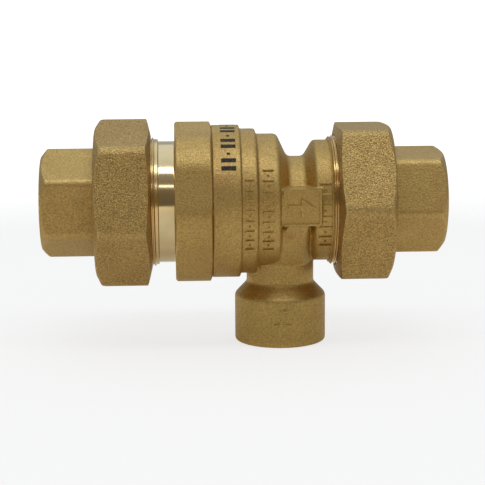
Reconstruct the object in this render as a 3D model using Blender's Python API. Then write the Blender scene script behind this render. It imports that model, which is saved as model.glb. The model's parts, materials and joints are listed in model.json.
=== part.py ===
"""Dual check backflow preventer with an atmospheric vent and union ends, half inch pipe size.

The flow axis is X, from the inlet face at the origin to the outlet face. The vent points down.
Pieces that turn about the flow axis are described by (x, radius) profiles.
"""
import math

import bmesh
import bpy
from mathutils import Matrix, Vector

MM = 0.001
GAP = 0.3 * MM  # clearance between pieces that touch on the real valve
WELD = 0.001 * MM  # points closer than this are one point

# ---- driving dimensions ------------------------------------------------------------------------
BODY_LENGTH = 65.1 * MM  # from the cap's union face to the outlet union face

# union tailpieces
TAIL_ACROSS_FLATS = 27.5 * MM
TAIL_CORNER_RADIUS = 0.8 * MM
TAIL_END_FACE_R = 13.3 * MM
TAIL_END_CHAMFER = 2.0 * MM
TAIL_VISIBLE_LENGTH = 15.2 * MM
TAIL_COLLAR_R = 17.2 * MM
TAIL_COLLAR_THICKNESS = 3.4 * MM
WATERWAY_R = 8.4 * MM

# female pipe threads, drawn at their minor diameter
PIPE_THREAD_R = 9.3 * MM
PIPE_THREAD_DEPTH = 15.0 * MM
PIPE_MOUTH_R = 10.9 * MM
PIPE_MOUTH_DEPTH = 1.6 * MM

# male union threads, drawn at their major diameter
UNION_THREAD_R = 18.35 * MM
UNION_THREAD_LENGTH = 8.0 * MM

# union nuts
NUT_WALL = 2.8 * MM  # from the male thread to the flats
NUT_ACROSS_FLATS = 2 * (UNION_THREAD_R + NUT_WALL)
NUT_CORNER_RADIUS = 3.2 * MM
NUT_LENGTH = 15.8 * MM
NUT_FLANGE = 3.2 * MM
NUT_OUTER_FACE_R = NUT_ACROSS_FLATS / 2 - 0.45 * MM
NUT_OUTER_CHAMFER = 2.3 * MM
NUT_INNER_FACE_R = UNION_THREAD_R + 0.55 * MM
NUT_INNER_CHAMFER = 1.9 * MM
GASKET_THICKNESS = 1.8 * MM
GASKET_INNER_R = 9.4 * MM
GASKET_OUTER_R = 16.6 * MM

# inlet cap
CAP_NECK_R = 17.2 * MM
CAP_NECK_LENGTH = 5.2 * MM
CAP_COLLAR_R = 22.75 * MM
CAP_COLLAR_LENGTH = 10.1 * MM
CAP_SPIGOT_R = 18.0 * MM
CAP_SPIGOT_ROOT_R = 17.0 * MM
CAP_SPIGOT_LENGTH = 9.3 * MM
CAP_BORE_R = 10.0 * MM
CAP_CHAMBER_R = 14.0 * MM
COLLAR_EDGE = 0.7 * MM
O_RING_POCKET_R = 19.4 * MM
O_RING_POCKET_DEPTH = 2.3 * MM
CAP_O_RING_SECTION_R = 0.75 * MM

# body, outside
BODY_BARREL_R = 21.7 * MM
BODY_BARREL_LENGTH = 7.9 * MM
BODY_STEP_R = 20.6 * MM
BODY_STEP_LENGTH = 4.6 * MM
BODY_SHOULDER_R = 19.1 * MM
BODY_SHOULDER_LENGTH = 6.0 * MM
BODY_NECK_R = 12.65 * MM
BODY_NECK_TAPER_IN = 3.0 * MM
BODY_NECK_LENGTH = 4.6 * MM
BODY_NECK_TAPER_OUT = 2.8 * MM
BODY_COLLAR_R = 17.2 * MM
BODY_EDGE = 0.9 * MM

# body, inside
BODY_BORE_R = 16.9 * MM
VENT_CHAMBER_R = 13.2 * MM
VENT_CHAMBER_LENGTH = 5.7 * MM
NOZZLE_OUTER_R = 10.0 * MM
NOZZLE_BORE_R = 8.0 * MM
NOZZLE_SETBACK = 1.4 * MM  # from the diaphragm's shoulder back to the nozzle's rim
OUTLET_BORE_R = 12.2 * MM
OUTLET_BORE_DEPTH = 14.6 * MM

# vent branch
VENT_OFFSET = 19.5 * MM  # from the body's inlet end to the vent's axis
VENT_NECK_R = 9.6 * MM
VENT_NECK_END = 23.5 * MM  # below the flow axis
VENT_BOSS_R = 13.0 * MM
VENT_BOSS_START = 26.7 * MM
VENT_DROP = 40.5 * MM
VENT_EDGE = 0.8 * MM
VENT_PORT_DEPTH = VENT_DROP - VENT_BOSS_START - VENT_EDGE
VENT_PASSAGE_R = 4.6 * MM

# label pads and their gussets, on the front and on the back
PAD_PLANE = 18.0 * MM
PAD_SETBACK = 0.9 * MM  # from the shoulder's end
PAD_LENGTH = 10.7 * MM
PAD_BOTTOM = -4.6 * MM
PAD_TOP = 5.6 * MM
GUSSET_TOP_X = 4.4 * MM  # of its middle, from the pad's inlet edge
GUSSET_TOP_WIDTH = 5.4 * MM
GUSSET_FOOT_DROP = 18.0 * MM
GUSSET_FOOT_START = 12  # degrees round the vent's neck, from the flow axis
GUSSET_FOOT_STEPS = 8

# strainer
STRAINER_SEAT_R = 12.0 * MM
STRAINER_RING_THICKNESS = 1.9 * MM
SCREEN_R = 8.2 * MM
SCREEN_WALL = 0.6 * MM
SCREEN_LENGTH = 5.8 * MM
SCREEN_SLOTS = 12
SCREEN_SLOT_WIDTH = 1.6 * MM

# first check
FIRST_SEAT_THICKNESS = 3.8 * MM
FIRST_SEAT_HOLE_R = 6.5 * MM
FIRST_POPPET_R = 10.2 * MM
FIRST_STEM_R = 2.2 * MM
FIRST_SPRING_R = 6.2 * MM
FIRST_GUIDE_THICKNESS = 1.8 * MM

# second check
SECOND_SEAT_THICKNESS = 2.7 * MM
SECOND_SEAT_HOLE_R = 6.0 * MM
SECOND_POPPET_R = 9.0 * MM
SECOND_STEM_R = 1.9 * MM
SECOND_SPRING_R = 4.6 * MM
SECOND_GUIDE_THICKNESS = 1.6 * MM
SECOND_SPRING_ROOM = 10.1 * MM
CAGE_R = 7.2 * MM
CAGE_WALL = 0.9 * MM
CAGE_END_THICKNESS = 1.4 * MM

# what both checks share
SEAT_LIP_HEIGHT = 0.8 * MM
SEAT_LIP_WIDTH = 1.2 * MM
SEAL_DISC_THICKNESS = 1.5 * MM
POPPET_PLATE = 1.8 * MM
POPPET_RIM_WIDTH = 0.8 * MM
STEM_PAST_GUIDE = 1.0 * MM
RETAINER_HEAD_R = 3.8 * MM
RETAINER_HEAD_THICKNESS = 1.2 * MM
RETAINER_SHANK_R = 1.3 * MM
O_RING_GROOVE_DEPTH = 2.0 * MM
O_RING_GROOVE_WIDTH = 1.9 * MM
O_RING_SECTION_R = 0.7 * MM
SPRING_WIRE_R = 0.45 * MM
SPRING_TURNS = 5
SNAP_RING_THICKNESS = 0.8 * MM
SNAP_RING_WIDTH = 1.8 * MM
SNAP_GROOVE_DEPTH = 0.7 * MM
SNAP_RING_OPENING = 40  # degrees
SPOKE_WINDOWS = 4

# vent valve
DIAPHRAGM_RIM = 2.2 * MM
DIAPHRAGM_RIM_WIDTH = 3.3 * MM
DIAPHRAGM_WEB = 1.0 * MM
CLAMP_RING_THICKNESS = 1.3 * MM
CLAMP_RING_INNER_R = 12.6 * MM
HUB_FLANGE_R = 10.0 * MM
HUB_FLANGE_THICKNESS = 1.3 * MM
HUB_BARREL_R = 6.0 * MM
HUB_BORE_R = 4.6 * MM
HUB_BARREL_LENGTH = 3.0 * MM
HUB_RETAINER_R = 7.4 * MM
HUB_RETAINER_THICKNESS = 1.0 * MM

# facets round a full turn
LARGE = 40
MEDIUM = 26
SMALL = 16
CORNER_STEPS = 3

# ---- places along the flow axis, worked out from the sizes above ---------------------------------
NUT_SHOULDER_X = TAIL_VISIBLE_LENGTH + NUT_FLANGE
TAIL_FACE_X = NUT_SHOULDER_X + GAP + TAIL_COLLAR_THICKNESS
CAP_FACE_X = TAIL_FACE_X + GASKET_THICKNESS + 2 * GAP
OUTLET_FACE_X = CAP_FACE_X + BODY_LENGTH
OVERALL_LENGTH = OUTLET_FACE_X + CAP_FACE_X

CAP_NECK_X = CAP_FACE_X + UNION_THREAD_LENGTH
CAP_COLLAR_X = CAP_NECK_X + CAP_NECK_LENGTH
CAP_SEAM_X = CAP_COLLAR_X + CAP_COLLAR_LENGTH
SPIGOT_END_X = CAP_SEAM_X + CAP_SPIGOT_LENGTH

BODY_START_X = CAP_SEAM_X + GAP
CLAMP_RING_X = SPIGOT_END_X + GAP
DIAPHRAGM_X = CLAMP_RING_X + CLAMP_RING_THICKNESS + GAP
VENT_SHOULDER_X = DIAPHRAGM_X + DIAPHRAGM_RIM + GAP
NOZZLE_X = VENT_SHOULDER_X + NOZZLE_SETBACK
VENT_CHAMBER_END_X = VENT_SHOULDER_X + VENT_CHAMBER_LENGTH
VENT_X = BODY_START_X + VENT_OFFSET
SEAT_SHOULDER_X = OUTLET_FACE_X - OUTLET_BORE_DEPTH

STRAINER_X = CAP_FACE_X + GAP
STRAINER_SEAT_X = STRAINER_X + STRAINER_RING_THICKNESS + GAP
SCREEN_END_X = STRAINER_SEAT_X + SCREEN_LENGTH
FIRST_CHAMBER_X = SCREEN_END_X + 2 * GAP
FIRST_SEAT_X = FIRST_CHAMBER_X + GAP
SECOND_SEAT_X = SEAT_SHOULDER_X + GAP

WEB_X = DIAPHRAGM_X + (DIAPHRAGM_RIM - DIAPHRAGM_WEB) / 2
HUB_FLANGE_X = WEB_X - GAP - HUB_FLANGE_THICKNESS
HUB_RETAINER_X = WEB_X + DIAPHRAGM_WEB + GAP

# ---- materials -----------------------------------------------------------------------------------
FORGED_BRASS = ("forged_brass", (0.36, 0.25, 0.10), 0.45, 1.0)
TURNED_BRASS = ("turned_brass", (0.62, 0.45, 0.20), 0.18, 1.0)
STAINLESS = ("stainless_steel", (0.55, 0.55, 0.54), 0.28, 1.0)
BLACK_RUBBER = ("black_rubber", (0.02, 0.02, 0.022), 0.65, 0.0)
RED_RUBBER = ("red_silicone", (0.35, 0.05, 0.03), 0.60, 0.0)
ACETAL = ("white_acetal", (0.75, 0.74, 0.70), 0.40, 0.0)


def material(spec):
    """The material of one kind of stuff, made once and then shared."""
    name, colour, roughness, metallic = spec
    found = bpy.data.materials.get(name)
    if found:
        return found
    made = bpy.data.materials.new(name)
    made.use_nodes = True
    shader = made.node_tree.nodes["Principled BSDF"]
    shader.inputs["Base Color"].default_value = (*colour, 1.0)
    shader.inputs["Roughness"].default_value = roughness
    shader.inputs["Metallic"].default_value = metallic
    made.diffuse_color = (*colour, 1.0)
    return made


# ---- modelling tools -----------------------------------------------------------------------------
def clear_scene():
    for old in list(bpy.data.objects):
        bpy.data.objects.remove(old, do_unlink=True)


def new_object(name, bm):
    """Turns a bmesh into an object with its faces pointing out."""
    bmesh.ops.recalc_face_normals(bm, faces=bm.faces)
    mesh = bpy.data.meshes.new(name)
    bm.to_mesh(mesh)
    bm.free()
    made = bpy.data.objects.new(name, mesh)
    bpy.context.scene.collection.objects.link(made)
    return made


def turned(name, profile, facets, closed=True):
    """Turns an (x, radius) profile about the flow axis.

    A closed profile makes a ring. An open one starts and ends on the axis and makes a solid.
    """
    bm = bmesh.new()
    points = [bm.verts.new((x, 0.0, radius)) for x, radius in profile]
    following = points[1:] + points[:1] if closed else points[1:]
    edges = [bm.edges.new(pair) for pair in zip(points, following)]
    bmesh.ops.spin(bm, geom=points + edges, cent=(0, 0, 0), axis=(1, 0, 0),
                   angle=2 * math.pi, steps=facets, use_merge=True)
    bmesh.ops.remove_doubles(bm, verts=bm.verts, dist=WELD)
    return new_object(name, bm)


def ring_profile(x, thickness, inner_r, outer_r):
    return [(x, inner_r), (x, outer_r), (x + thickness, outer_r), (x + thickness, inner_r)]


def disc_profile(x, thickness, outer_r):
    return [(x, 0.0), (x, outer_r), (x + thickness, outer_r), (x + thickness, 0.0)]


def round_section(x, centre_r, section_r, sides=6):
    """The round section of an O-ring as a profile."""
    turns = (2 * math.pi * side / sides for side in range(sides))
    return [(x + section_r * math.cos(turn), centre_r + section_r * math.sin(turn)) for turn in turns]


def hexagon(across_flats, corner_r, flat_above_front):
    """A hexagon's (y, z) outline with rounded corners.

    One flat faces the front, turned up by flat_above_front degrees.
    """
    outline = []
    corner_centre_r = (across_flats / 2 - corner_r) / math.cos(math.pi / 6)
    for corner in range(6):
        middle = math.radians(flat_above_front + 30 + 60 * corner)
        for step in range(CORNER_STEPS + 1):
            turn = middle + math.radians(60 * step / CORNER_STEPS - 30)
            outline.append((-corner_centre_r * math.cos(middle) - corner_r * math.cos(turn),
                            corner_centre_r * math.sin(middle) + corner_r * math.sin(turn)))
    return outline


def extruded(name, outline, start_x, end_x):
    """Extrudes a (y, z) outline along the flow axis."""
    bm = bmesh.new()
    face = bm.faces.new([bm.verts.new((start_x, y, z)) for y, z in outline])
    grown = bmesh.ops.extrude_face_region(bm, geom=[face])["geom"]
    moved = [item for item in grown if isinstance(item, bmesh.types.BMVert)]
    bmesh.ops.translate(bm, verts=moved, vec=(end_x - start_x, 0, 0))
    return new_object(name, bm)


def box(name, low, high):
    bm = bmesh.new()
    bmesh.ops.create_cube(bm, size=1.0)
    size = [top - bottom for bottom, top in zip(low, high)]
    middle = [(top + bottom) / 2 for bottom, top in zip(low, high)]
    bmesh.ops.scale(bm, vec=size, verts=bm.verts)
    bmesh.ops.translate(bm, vec=middle, verts=bm.verts)
    return new_object(name, bm)


def combine(target, tool, operation):
    """Applies one exact Boolean to the target and removes the tool."""
    step = target.modifiers.new(operation, "BOOLEAN")
    step.operation = operation
    step.solver = "EXACT"
    step.object = tool
    depsgraph = bpy.context.evaluated_depsgraph_get()
    result = bpy.data.meshes.new_from_object(target.evaluated_get(depsgraph))
    bm = bmesh.new()
    bm.from_mesh(result)
    bmesh.ops.remove_doubles(bm, verts=bm.verts, dist=WELD)
    bmesh.ops.dissolve_degenerate(bm, edges=bm.edges, dist=WELD)
    bm.to_mesh(result)
    bm.free()
    target.modifiers.remove(step)
    target.data = result
    bpy.data.objects.remove(tool, do_unlink=True)


def turn_down(made, x):
    """Turns a piece made along the flow axis to point down from the axis at x."""
    made.data.transform(Matrix.Translation((x, 0, 0)) @ Matrix.Rotation(math.pi / 2, 4, "Y"))


def mirror_to_outlet(made):
    """Mirrors a piece made at the inlet to the outlet end."""
    made.data.transform(Matrix.Translation((OVERALL_LENGTH, 0, 0)) @ Matrix.Scale(-1, 4, (1, 0, 0)))
    made.data.flip_normals()


def put_on_flow_axis(made, x):
    """Moves a piece's origin to the flow axis at x and leaves its shape in place."""
    made.data.transform(Matrix.Translation((-x, 0, 0)))
    made.location = (x, 0, 0)


def finish(made, spec, origin_x=0.0, sharp_above=30):
    """Gives a piece its material, its origin and smooth round faces."""
    made.data.materials.clear()
    made.data.materials.append(material(spec))
    put_on_flow_axis(made, origin_x)
    made.data.shade_smooth()
    made.data.set_sharp_from_angle(angle=math.radians(sharp_above))
    return made


# ---- shared shapes -------------------------------------------------------------------------------
def pipe_port_profile(depth, floor_r):
    """Cutter for a female pipe thread whose mouth is at x = 0, down to the edge of the hole in its floor."""
    past_mouth = PIPE_MOUTH_DEPTH
    return [(-past_mouth, 0.0), (-past_mouth, PIPE_MOUTH_R), (0.0, PIPE_MOUTH_R),
            (PIPE_MOUTH_DEPTH, PIPE_THREAD_R), (depth, PIPE_THREAD_R), (depth, floor_r)]


def cut_windows(made, start_x, end_x, inner_r, outer_r, count, width, first_turn=0.0):
    """Cuts straight windows, evenly spaced round the flow axis."""
    for window in range(count):
        cutter = box("window", (start_x, -width / 2, inner_r), (end_x, width / 2, outer_r))
        turn = first_turn + 2 * math.pi * window / count
        cutter.data.transform(Matrix.Rotation(turn, 4, "X"))
        combine(made, cutter, "DIFFERENCE")


def helical_spring(name, start_x, length, mean_r, wire_r, turns):
    """A round wire spring whose two end turns lie nearly flat."""
    steps_a_turn = 12
    sides = 5
    bm = bmesh.new()
    pitch_length = length - 2 * wire_r
    steps = steps_a_turn * turns
    loops = []
    for step in range(steps + 1):
        share = step / steps
        turn = 2 * math.pi * turns * share
        eased = share - math.sin(2 * math.pi * share) / (2 * math.pi)
        travel = 0.6 * share + 0.4 * eased
        centre = Vector((start_x + wire_r + pitch_length * travel,
                         mean_r * math.cos(turn), mean_r * math.sin(turn)))
        outward = Vector((0, math.cos(turn), math.sin(turn)))
        loop = []
        for side in range(sides):
            bend = 2 * math.pi * side / sides
            offset = Vector((math.cos(bend), 0, 0)) + outward * math.sin(bend)
            loop.append(bm.verts.new(centre + offset * wire_r))
        loops.append(loop)
    for loop, following in zip(loops, loops[1:]):
        for side in range(sides):
            after = (side + 1) % sides
            bm.faces.new((loop[side], loop[after], following[after], following[side]))
    bm.faces.new(loops[0])
    bm.faces.new(loops[-1])
    return finish(new_object(name, bm), STAINLESS, start_x)


def snap_ring(name, x, groove_r):
    """An open retaining ring that sits in a groove of the bore."""
    outer_r = groove_r - GAP
    made = turned(name, ring_profile(x, SNAP_RING_THICKNESS, outer_r - SNAP_RING_WIDTH, outer_r), MEDIUM)
    opening = 2 * outer_r * math.sin(math.radians(SNAP_RING_OPENING / 2))
    clear = SNAP_RING_THICKNESS
    cutter = box("opening", (x - clear, -opening / 2, 0), (x + 2 * clear, opening / 2, groove_r))
    combine(made, cutter, "DIFFERENCE")
    return finish(made, STAINLESS, x)


def check_seat(name, x, thickness, hole_r, bore_r):
    """A seat ring with a raised lip downstream and an O-ring groove in its rim."""
    outer_r = bore_r - GAP
    groove_x = x + (thickness - O_RING_GROOVE_WIDTH) / 2
    groove_end_x = groove_x + O_RING_GROOVE_WIDTH
    groove_r = outer_r - O_RING_GROOVE_DEPTH
    face_x = x + thickness
    lip_x = face_x + SEAT_LIP_HEIGHT
    profile = [(x, hole_r), (x, outer_r), (groove_x, outer_r), (groove_x, groove_r),
               (groove_end_x, groove_r), (groove_end_x, outer_r), (face_x, outer_r),
               (face_x, hole_r + SEAT_LIP_WIDTH), (lip_x, hole_r + SEAT_LIP_WIDTH / 2), (lip_x, hole_r)]
    return finish(turned(name, profile, MEDIUM), ACETAL, x)


def check_o_ring(name, seat_x, thickness, bore_r):
    """The O-ring in a check seat's rim, clear of the groove and of the bore."""
    groove_r = bore_r - GAP - O_RING_GROOVE_DEPTH
    middle_r = (groove_r + bore_r) / 2
    middle_x = seat_x + thickness / 2
    return finish(turned(name, round_section(middle_x, middle_r, O_RING_SECTION_R), MEDIUM),
                  BLACK_RUBBER, middle_x)


def check_poppet(name, seal_x, poppet_r, stem_r, stem_length):
    """A poppet: a cup that holds the seal disc, a plate and a guide stem, bored for its screw."""
    plate_x = seal_x + SEAL_DISC_THICKNESS + GAP
    back_x = plate_x + POPPET_PLATE
    rim_x = seal_x + SEAL_DISC_THICKNESS / 2
    rim_r = poppet_r - POPPET_RIM_WIDTH
    bore_r = RETAINER_SHANK_R + GAP
    bore_end_x = back_x + GAP
    fillet = stem_r
    profile = [(bore_end_x, 0.0), (bore_end_x, bore_r), (plate_x, bore_r), (plate_x, rim_r),
               (rim_x, rim_r), (rim_x, poppet_r), (back_x - POPPET_PLATE / 2, poppet_r),
               (back_x, rim_r), (back_x, stem_r + fillet), (back_x + fillet, stem_r),
               (back_x + stem_length, stem_r), (back_x + stem_length, 0.0)]
    return finish(turned(name, profile, MEDIUM, closed=False), ACETAL, back_x)


def check_seal_disc(name, seal_x, poppet_r):
    outer_r = poppet_r - POPPET_RIM_WIDTH - GAP
    inner_r = RETAINER_SHANK_R + GAP
    return finish(turned(name, ring_profile(seal_x, SEAL_DISC_THICKNESS, inner_r, outer_r), MEDIUM),
                  BLACK_RUBBER, seal_x)


def check_retainer(name, seal_x):
    """The screw that holds the seal disc, with a washer head upstream of it."""
    head_x = seal_x - GAP - RETAINER_HEAD_THICKNESS
    shank_end_x = seal_x + SEAL_DISC_THICKNESS + GAP + POPPET_PLATE
    head_edge = RETAINER_HEAD_THICKNESS / 3
    profile = [(head_x, 0.0), (head_x, RETAINER_HEAD_R - head_edge),
               (head_x + head_edge, RETAINER_HEAD_R), (seal_x - GAP, RETAINER_HEAD_R),
               (seal_x - GAP, RETAINER_SHANK_R), (shank_end_x, RETAINER_SHANK_R), (shank_end_x, 0.0)]
    made = turned(name, profile, SMALL, closed=False)
    slot_width = RETAINER_HEAD_R / 4
    slot = box("slot", (head_x - head_edge, -slot_width / 2, -RETAINER_HEAD_R - GAP),
               (head_x + head_edge, slot_width / 2, RETAINER_HEAD_R + GAP))
    combine(made, slot, "DIFFERENCE")
    return finish(made, STAINLESS, head_x)


# ---- unions --------------------------------------------------------------------------------------
def tailpiece(name, flat_above_front, at_outlet):
    """A hexagonal tail with a female pipe thread and a collar that the nut pulls on."""
    outline = hexagon(TAIL_ACROSS_FLATS, TAIL_CORNER_RADIUS, flat_above_front)
    collar_x = TAIL_FACE_X - TAIL_COLLAR_THICKNESS
    made = extruded(name, outline, 0.0, TAIL_FACE_X)
    slope = TAIL_ACROSS_FLATS / math.sqrt(3) - TAIL_END_FACE_R
    envelope = turned("envelope", [
        (0.0, 0.0), (0.0, TAIL_END_FACE_R), (TAIL_END_CHAMFER, TAIL_END_FACE_R + slope),
        (TAIL_END_CHAMFER + GAP, TAIL_COLLAR_R), (TAIL_FACE_X, TAIL_COLLAR_R),
        (TAIL_FACE_X, 0.0)], LARGE, closed=False)
    combine(made, envelope, "INTERSECT")
    collar = turned("collar", disc_profile(collar_x, TAIL_COLLAR_THICKNESS, TAIL_COLLAR_R), LARGE,
                    closed=False)
    combine(made, collar, "UNION")
    past_end = TAIL_FACE_X + GAP
    waterway = [(past_end, WATERWAY_R), (past_end, 0.0)]
    port = turned("port", pipe_port_profile(PIPE_THREAD_DEPTH, WATERWAY_R) + waterway, LARGE, closed=False)
    combine(made, port, "DIFFERENCE")
    if at_outlet:
        mirror_to_outlet(made)
    return finish(made, FORGED_BRASS, OVERALL_LENGTH if at_outlet else 0.0)


def union_nut(name, flat_above_front, at_outlet):
    """A hexagonal union nut, with its flange at the outer end and its thread at the inner end."""
    outer_x = TAIL_VISIBLE_LENGTH
    inner_x = outer_x + NUT_LENGTH
    corner_r = NUT_ACROSS_FLATS / math.sqrt(3)
    made = extruded(name, hexagon(NUT_ACROSS_FLATS, NUT_CORNER_RADIUS, flat_above_front), outer_x, inner_x)
    envelope = turned("envelope", [
        (outer_x, 0.0), (outer_x, NUT_OUTER_FACE_R), (outer_x + NUT_OUTER_CHAMFER, corner_r),
        (inner_x - NUT_INNER_CHAMFER, corner_r), (inner_x, NUT_INNER_FACE_R), (inner_x, 0.0)],
        LARGE, closed=False)
    combine(made, envelope, "INTERSECT")
    thread_r = UNION_THREAD_R + GAP
    hole_r = TAIL_ACROSS_FLATS / math.sqrt(3) + GAP
    past_outer_x = outer_x - GAP
    past_inner_x = inner_x + GAP
    bore = turned("bore", [
        (past_outer_x, 0.0), (past_outer_x, hole_r), (NUT_SHOULDER_X, hole_r), (NUT_SHOULDER_X, thread_r),
        (past_inner_x, thread_r), (past_inner_x, 0.0)], LARGE, closed=False)
    combine(made, bore, "DIFFERENCE")
    if at_outlet:
        mirror_to_outlet(made)
    return finish(made, FORGED_BRASS, OVERALL_LENGTH - outer_x if at_outlet else outer_x)


def union_gasket(name, at_outlet):
    x = TAIL_FACE_X + GAP
    made = turned(name, ring_profile(x, GASKET_THICKNESS, GASKET_INNER_R, GASKET_OUTER_R), MEDIUM)
    if at_outlet:
        mirror_to_outlet(made)
    return finish(made, BLACK_RUBBER, OVERALL_LENGTH - x if at_outlet else x)


# ---- inlet cap -----------------------------------------------------------------------------------
def inlet_cap():
    """The cap: male union thread, polished neck, hexagonal collar and a spigot screwed into the body."""
    thread_edge = COLLAR_EDGE
    groove_x = SPIGOT_END_X - 2 * SNAP_RING_THICKNESS
    groove_end_x = groove_x + SNAP_RING_THICKNESS + 2 * GAP
    groove_r = CAP_CHAMBER_R + SNAP_GROOVE_DEPTH
    spigot_thread_x = CAP_SEAM_X + O_RING_POCKET_DEPTH + GAP
    profile = [
        (CAP_FACE_X, STRAINER_SEAT_R), (CAP_FACE_X, UNION_THREAD_R - thread_edge),
        (CAP_FACE_X + thread_edge, UNION_THREAD_R), (CAP_NECK_X - thread_edge, UNION_THREAD_R),
        (CAP_NECK_X, CAP_NECK_R), (CAP_COLLAR_X, CAP_NECK_R),
        (CAP_COLLAR_X, CAP_COLLAR_R - COLLAR_EDGE), (CAP_COLLAR_X + COLLAR_EDGE, CAP_COLLAR_R),
        (CAP_SEAM_X - COLLAR_EDGE, CAP_COLLAR_R), (CAP_SEAM_X, CAP_COLLAR_R - COLLAR_EDGE),
        (CAP_SEAM_X, CAP_SPIGOT_ROOT_R), (spigot_thread_x, CAP_SPIGOT_ROOT_R),
        (spigot_thread_x, CAP_SPIGOT_R), (SPIGOT_END_X, CAP_SPIGOT_R), (SPIGOT_END_X, CAP_CHAMBER_R),
        (groove_end_x, CAP_CHAMBER_R), (groove_end_x, groove_r), (groove_x, groove_r),
        (groove_x, CAP_CHAMBER_R), (FIRST_CHAMBER_X, CAP_CHAMBER_R), (FIRST_CHAMBER_X, CAP_BORE_R),
        (STRAINER_SEAT_X, CAP_BORE_R), (STRAINER_SEAT_X, STRAINER_SEAT_R)]
    made = turned("inlet_cap", profile, LARGE)
    flats = extruded("flats", hexagon(2 * BODY_BARREL_R, GAP, 17), CAP_COLLAR_X - GAP, CAP_SEAM_X + GAP)
    whole = turned("whole", disc_profile(CAP_COLLAR_X - GAP, CAP_COLLAR_LENGTH + 2 * GAP,
                                         2 * CAP_COLLAR_R), LARGE, closed=False)
    combine(whole, flats, "DIFFERENCE")
    combine(made, whole, "DIFFERENCE")
    return finish(made, FORGED_BRASS, CAP_COLLAR_X)


def cap_o_ring():
    middle_x = CAP_SEAM_X + (O_RING_POCKET_DEPTH + GAP) / 2
    middle_r = (CAP_SPIGOT_ROOT_R + O_RING_POCKET_R) / 2
    return finish(turned("cap_o_ring", round_section(middle_x, middle_r, CAP_O_RING_SECTION_R), LARGE),
                  BLACK_RUBBER, middle_x)


# ---- valve body ----------------------------------------------------------------------------------
def body_outside():
    barrel_end = BODY_START_X + BODY_BARREL_LENGTH
    step_end = barrel_end + BODY_STEP_LENGTH
    shoulder_end = step_end + BODY_SHOULDER_LENGTH
    neck_x = shoulder_end + BODY_NECK_TAPER_IN
    neck_end = neck_x + BODY_NECK_LENGTH
    collar_x = neck_end + BODY_NECK_TAPER_OUT
    thread_x = OUTLET_FACE_X - UNION_THREAD_LENGTH
    return turned("valve_body", [
        (BODY_START_X, 0.0), (BODY_START_X, BODY_BARREL_R - GAP), (BODY_START_X + GAP, BODY_BARREL_R),
        (barrel_end - GAP, BODY_BARREL_R), (barrel_end, BODY_BARREL_R - GAP), (barrel_end, BODY_STEP_R),
        (step_end - BODY_EDGE, BODY_STEP_R), (step_end, BODY_STEP_R - BODY_EDGE), (step_end, BODY_SHOULDER_R),
        (shoulder_end - BODY_EDGE, BODY_SHOULDER_R), (shoulder_end, BODY_SHOULDER_R - BODY_EDGE),
        (neck_x, BODY_NECK_R + GAP), (neck_x + BODY_EDGE, BODY_NECK_R),
        (neck_end - BODY_EDGE, BODY_NECK_R), (neck_end + GAP, BODY_NECK_R + BODY_EDGE),
        (collar_x - BODY_EDGE, BODY_COLLAR_R - BODY_EDGE), (collar_x, BODY_COLLAR_R),
        (thread_x, BODY_COLLAR_R), (thread_x + COLLAR_EDGE, UNION_THREAD_R),
        (OUTLET_FACE_X - COLLAR_EDGE, UNION_THREAD_R), (OUTLET_FACE_X, UNION_THREAD_R - COLLAR_EDGE),
        (OUTLET_FACE_X, 0.0)], LARGE, closed=False)


def body_inside():
    """Cutter for everything along the flow axis inside the body."""
    thread_r = CAP_SPIGOT_R + GAP
    thread_end_x = SPIGOT_END_X + GAP
    pocket_x = BODY_START_X + O_RING_POCKET_DEPTH
    start_x = BODY_START_X - BODY_EDGE
    end_x = OUTLET_FACE_X + BODY_EDGE
    groove_end_x = OUTLET_FACE_X - SNAP_RING_THICKNESS / 2
    groove_x = groove_end_x - SNAP_RING_THICKNESS - 2 * GAP
    groove_r = OUTLET_BORE_R + SNAP_GROOVE_DEPTH
    return turned("body_inside", [
        (start_x, 0.0), (start_x, O_RING_POCKET_R), (pocket_x, O_RING_POCKET_R), (pocket_x, thread_r),
        (thread_end_x, thread_r), (thread_end_x, BODY_BORE_R), (VENT_SHOULDER_X, BODY_BORE_R),
        (VENT_SHOULDER_X, VENT_CHAMBER_R), (VENT_CHAMBER_END_X, VENT_CHAMBER_R),
        (VENT_CHAMBER_END_X, NOZZLE_OUTER_R), (NOZZLE_X, NOZZLE_OUTER_R - GAP), (NOZZLE_X, NOZZLE_BORE_R),
        (SEAT_SHOULDER_X, NOZZLE_BORE_R), (SEAT_SHOULDER_X, OUTLET_BORE_R), (groove_x, OUTLET_BORE_R),
        (groove_x, groove_r), (groove_end_x, groove_r), (groove_end_x, OUTLET_BORE_R),
        (end_x, OUTLET_BORE_R), (end_x, 0.0)], LARGE, closed=False)


def vent_outside():
    """The vent's neck and boss. It starts inside the body's wall, below the flow bore."""
    top = (NOZZLE_BORE_R + BODY_NECK_R) / 2
    made = turned("vent_outside", [
        (top, 0.0), (top, VENT_NECK_R), (VENT_NECK_END, VENT_NECK_R), (VENT_BOSS_START, VENT_BOSS_R),
        (VENT_DROP - VENT_EDGE, VENT_BOSS_R), (VENT_DROP, VENT_BOSS_R - VENT_EDGE), (VENT_DROP, 0.0)],
        MEDIUM, closed=False)
    turn_down(made, VENT_X)
    return made


def vent_inside():
    """Cutter for the vent's pipe thread and for its passage up into the vent chamber."""
    top = (NOZZLE_OUTER_R + VENT_CHAMBER_R) / 2
    passage = [(VENT_DROP - top, VENT_PASSAGE_R), (VENT_DROP - top, 0.0)]
    made = turned("vent_inside", pipe_port_profile(VENT_PORT_DEPTH, VENT_PASSAGE_R) + passage, MEDIUM,
                  closed=False)
    made.data.transform(Matrix.Translation((VENT_DROP, 0, 0)) @ Matrix.Scale(-1, 4, (1, 0, 0)))
    made.data.flip_normals()
    turn_down(made, VENT_X)
    return made


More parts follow.
